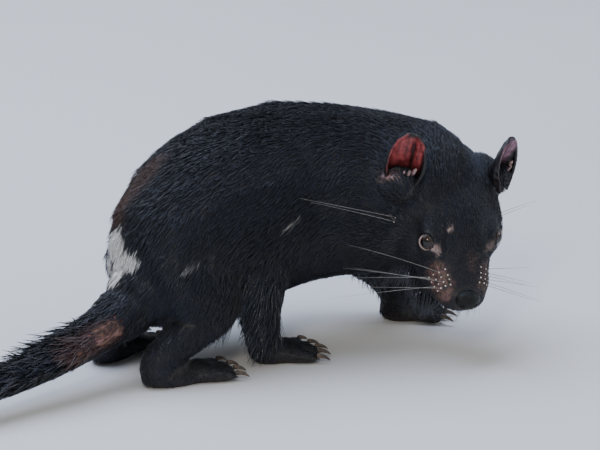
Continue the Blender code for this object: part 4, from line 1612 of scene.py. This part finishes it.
@dataclass
class Whiskers:
    """Whiskers of the pad and cheek of one side, and the small mounds that they grow from.

    A pad row has its height and its first place aside, in the head's frame in millimetres.
    """

    skin: Object
    kind: WhiskerSide
    thick: float = 0.21 * MM
    tip_thick: float = 0.05 * MM
    bed_radius: float = 0.72 * MM
    bed_lift: float = 0.15 * MM
    root_depth: float = 0.5 * MM
    seed: int = 7
    pad_rows: tuple[tuple[float, float], ...] = ((15, 2), (20, -3.5), (23, -9), (24, -14.5))
    row_beds: int = 4
    pad_front: float = 87
    bed_step: float = 4.6
    cheek: tuple[float, float] = (26, 52)
    cheek_heights: tuple[float, float] = (8, 3)

    def build(self) -> list[Object]:
        """Sets mounds and whiskers on the skin."""
        rng = np.random.default_rng(self.seed + self.kind.side)
        tree = BVHTree.FromPolygons(
            [v.co for v in self.skin.data.vertices], [p.vertices for p in self.skin.data.polygons]
        )
        beds, hairs = [], []
        for place, way, length in self.plan(rng):
            spot, normal, _, _ = tree.find_nearest(from_head(place))
            direction = (HEAD_TURN @ Vector(way)).normalized()
            beds.append((spot + normal * self.bed_lift, normal))
            if length:
                hairs.append(self.strand(spot - normal * self.root_depth, direction, length * MM, rng))
        strands = self.joined(f"whiskers_{self.kind.name}", hairs)
        mounds = self.mounds(f"whisker_beds_{self.kind.name}", beds)
        return [
            finish(strands, self.kind.finish.material(), Slot.COAT),
            finish(mounds, BED_FINISH.material(), Slot.COAT),
        ]

    def plan(self, rng: Chance) -> list[tuple[tuple, tuple, float]]:
        """Root place, direction and length of each whisker, in the head's frame.

        A length of nothing marks a bed whose whisker is worn off.
        """
        made = []
        side = self.kind.side
        for row, (y, z) in enumerate(self.pad_rows):
            for k in range(self.row_beds):
                place = (self.pad_front - self.bed_step * k - row * 0.8, (y + 0.9 * k) * side, z)
                sweep = self.kind.sweep - 0.09 * k + 0.10 * (row - 1) + rng.normal(0, 0.05)
                way = (sweep, 0.92 * side, 0.0 - 0.08 * row + rng.normal(0, 0.04))
                reach = rng.uniform(*self.kind.pad_lengths)
                grown = (row + k) % 2 == 0 and row > 0
                made.append((place, way, reach if grown else 0.0))
        x, y = self.cheek
        for z, length in zip(self.cheek_heights, self.kind.cheek_lengths):
            way = (-0.10 + rng.normal(0, 0.05), 0.85 * side, 0.3 + rng.normal(0, 0.05))
            made.append(((x, y * side, z), way, length))
        return made

    def strand(self, root: Vector, way: Vector, length: float, rng: Chance) -> tuple:
        """One tapering, slightly drooping hair as points and faces."""
        sides, steps = 5, 12
        sag = Vector((0, 0, -1)) * rng.uniform(0.04, 0.12)
        bend = (HEAD_TURN @ Vector((-1, 0, 0))) * rng.uniform(0.02, 0.12)
        points, faces = [], []
        place = root.copy()
        for k in range(steps + 1):
            t = k / steps
            tangent = (way + (sag + bend) * t * 1.6).normalized()
            if k:
                place = place + tangent * length / steps
            first = tangent.cross(Vector((0.2, 0.3, 0.93))).normalized()
            second = tangent.cross(first)
            radius = self.thick * (1 - t) ** 0.8 / 1.6 + self.tip_thick
            for j in range(sides):
                angle = 2 * math.pi * j / sides
                points.append(place + (first * math.cos(angle) + second * math.sin(angle)) * radius)
        for k in range(steps):
            for j in range(sides):
                a, b = k * sides + j, k * sides + (j + 1) % sides
                faces.append((a, b, b + sides, a + sides))
        faces.append(tuple(reversed(range(sides))))
        faces.append(tuple(steps * sides + j for j in range(sides)))
        return points, faces

    @staticmethod
    def joined(name: str, strands: list[tuple]) -> Object:
        """One object of all the strands."""
        points, faces = [], []
        for some, rows in strands:
            shift = len(points)
            points += [tuple(p) for p in some]
            faces += [tuple(i + shift for i in row) for row in rows]
        mesh = bpy.data.meshes.new(name)
        mesh.from_pydata(points, [], faces)
        obj = linked(name, mesh)
        activate(obj)
        bpy.ops.object.mode_set(mode="EDIT")
        bpy.ops.mesh.select_all(action="SELECT")
        bpy.ops.mesh.normals_make_consistent(inside=False)
        bpy.ops.object.mode_set(mode="OBJECT")
        return obj

    def mounds(self, name: str, beds: list[tuple[Vector, Vector]]) -> Object:
        """The small pale mounds that the whiskers grow from."""
        parts = []
        for spot, normal in beds:
            deselect()
            bpy.ops.mesh.primitive_ico_sphere_add(subdivisions=2, radius=self.bed_radius, location=(0, 0, 0))
            obj = bpy.context.object
            obj.data.transform(Matrix.Diagonal((1, 1, 0.6, 1)))
            obj.data.transform(normal.to_track_quat("Z", "Y").to_matrix().to_4x4())
            obj.data.transform(Matrix.Translation(spot))
            parts.append(obj)
        return join(name, parts)


@dataclass
class Studio:
    """The pale floor, the soft lights and the camera.

    The camera aims at the point of the plane that shows at the given place right and up of the
    body's own origin, in millimetres.
    """

    azimuth: float = math.radians(-30)
    elevation: float = math.radians(18)
    distance: float = 3.6
    lens: float = 259.2
    centre_mm: tuple[float, float] = (136.4, 115.0)
    plane: Vector = field(default_factory=lambda: from_body((120, -20, 120)))
    floor_radius: float = 9.0
    lit_point: tuple[float, float, float] = (0.05, 0.0, 0.1)
    panels: tuple[tuple, ...] = (
        ("sky_panel", (-0.3, 0.8, 2.2), 2.2, 84, "#cfdeff"),
        ("front_panel", (-1.5, -2.0, 1.9), 0.55, 26, "#fff6ea"),
        ("side_panel", (2.2, -0.8, 1.2), 0.8, 10, "#f4f6ff"),
    )

    def build(self) -> None:
        """Makes all of it."""
        self.floor()
        self.lights()
        self.camera()

    def floor(self) -> None:
        """A wide pale disc."""
        deselect()
        bpy.ops.mesh.primitive_circle_add(
            vertices=96, radius=self.floor_radius, fill_type="NGON", location=(0, 0, 0)
        )
        obj = bpy.context.object
        obj.name = "studio_floor"
        obj.data.materials.append(FLOOR_FINISH.material())

    def lights(self) -> None:
        """A large cool light from above, a warmer one from the camera's side, and a pale sky."""
        world = bpy.data.worlds.new("soft_sky")
        world.use_nodes = True
        sky = world.node_tree.nodes["Background"]
        sky.inputs["Color"].default_value = linear("#e0e6f0")
        sky.inputs["Strength"].default_value = 0.55
        bpy.context.scene.world = world
        for name, place, size, power, code in self.panels:
            light = bpy.data.lights.new(name, "AREA")
            light.size = size
            light.energy = power
            light.color = linear(code)[:3]
            obj = linked(name, light)
            obj.location = place
            way = Vector(self.lit_point) - Vector(place)
            obj.rotation_euler = way.to_track_quat("-Z", "Y").to_euler()

    def camera(self) -> None:
        """The camera at the photograph's viewing angle and framing."""
        back = Vector((
            math.sin(self.azimuth) * math.cos(self.elevation),
            -math.cos(self.azimuth) * math.cos(self.elevation),
            math.sin(self.elevation),
        ))
        right = Vector((math.cos(self.azimuth), math.sin(self.azimuth), 0))
        up = back.cross(right)
        target = right * self.centre_mm[0] * MM + up * self.centre_mm[1] * MM + BODY_SHIFT
        target += back * (self.plane - target).dot(back)
        data = bpy.data.cameras.new("camera")
        data.lens = self.lens
        data.sensor_width = 36
        data.clip_end = 60
        obj = linked("camera", data)
        obj.location = target + back * self.distance
        obj.rotation_euler = (-back).to_track_quat("-Z", "Y").to_euler()
        bpy.context.scene.camera = obj


def main() -> None:
    """Builds the animal and its studio, and reports each piece."""
    logging.basicConfig(level=logging.INFO, format="%(message)s")
    Studio().build()
    coat_map = CoatMap()
    skin = Skin(coat_map).build()
    made = [skin, *Coat(coat_map, skin).build()]
    for side in (1, -1):
        made += Eye(side).build()
    made.append(NosePad().build())
    for place in EARS:
        made += Ear(place).build()
    for foot, count in TOES.items():
        made.append(Claws(foot, count).build())
    for kind in WHISKER_SIDES:
        made += Whiskers(skin, kind).build()
    for obj in made:
        LOG.info("%s: %d faces", obj.name, len(obj.data.polygons))


if __name__ == "__main__":
    main()
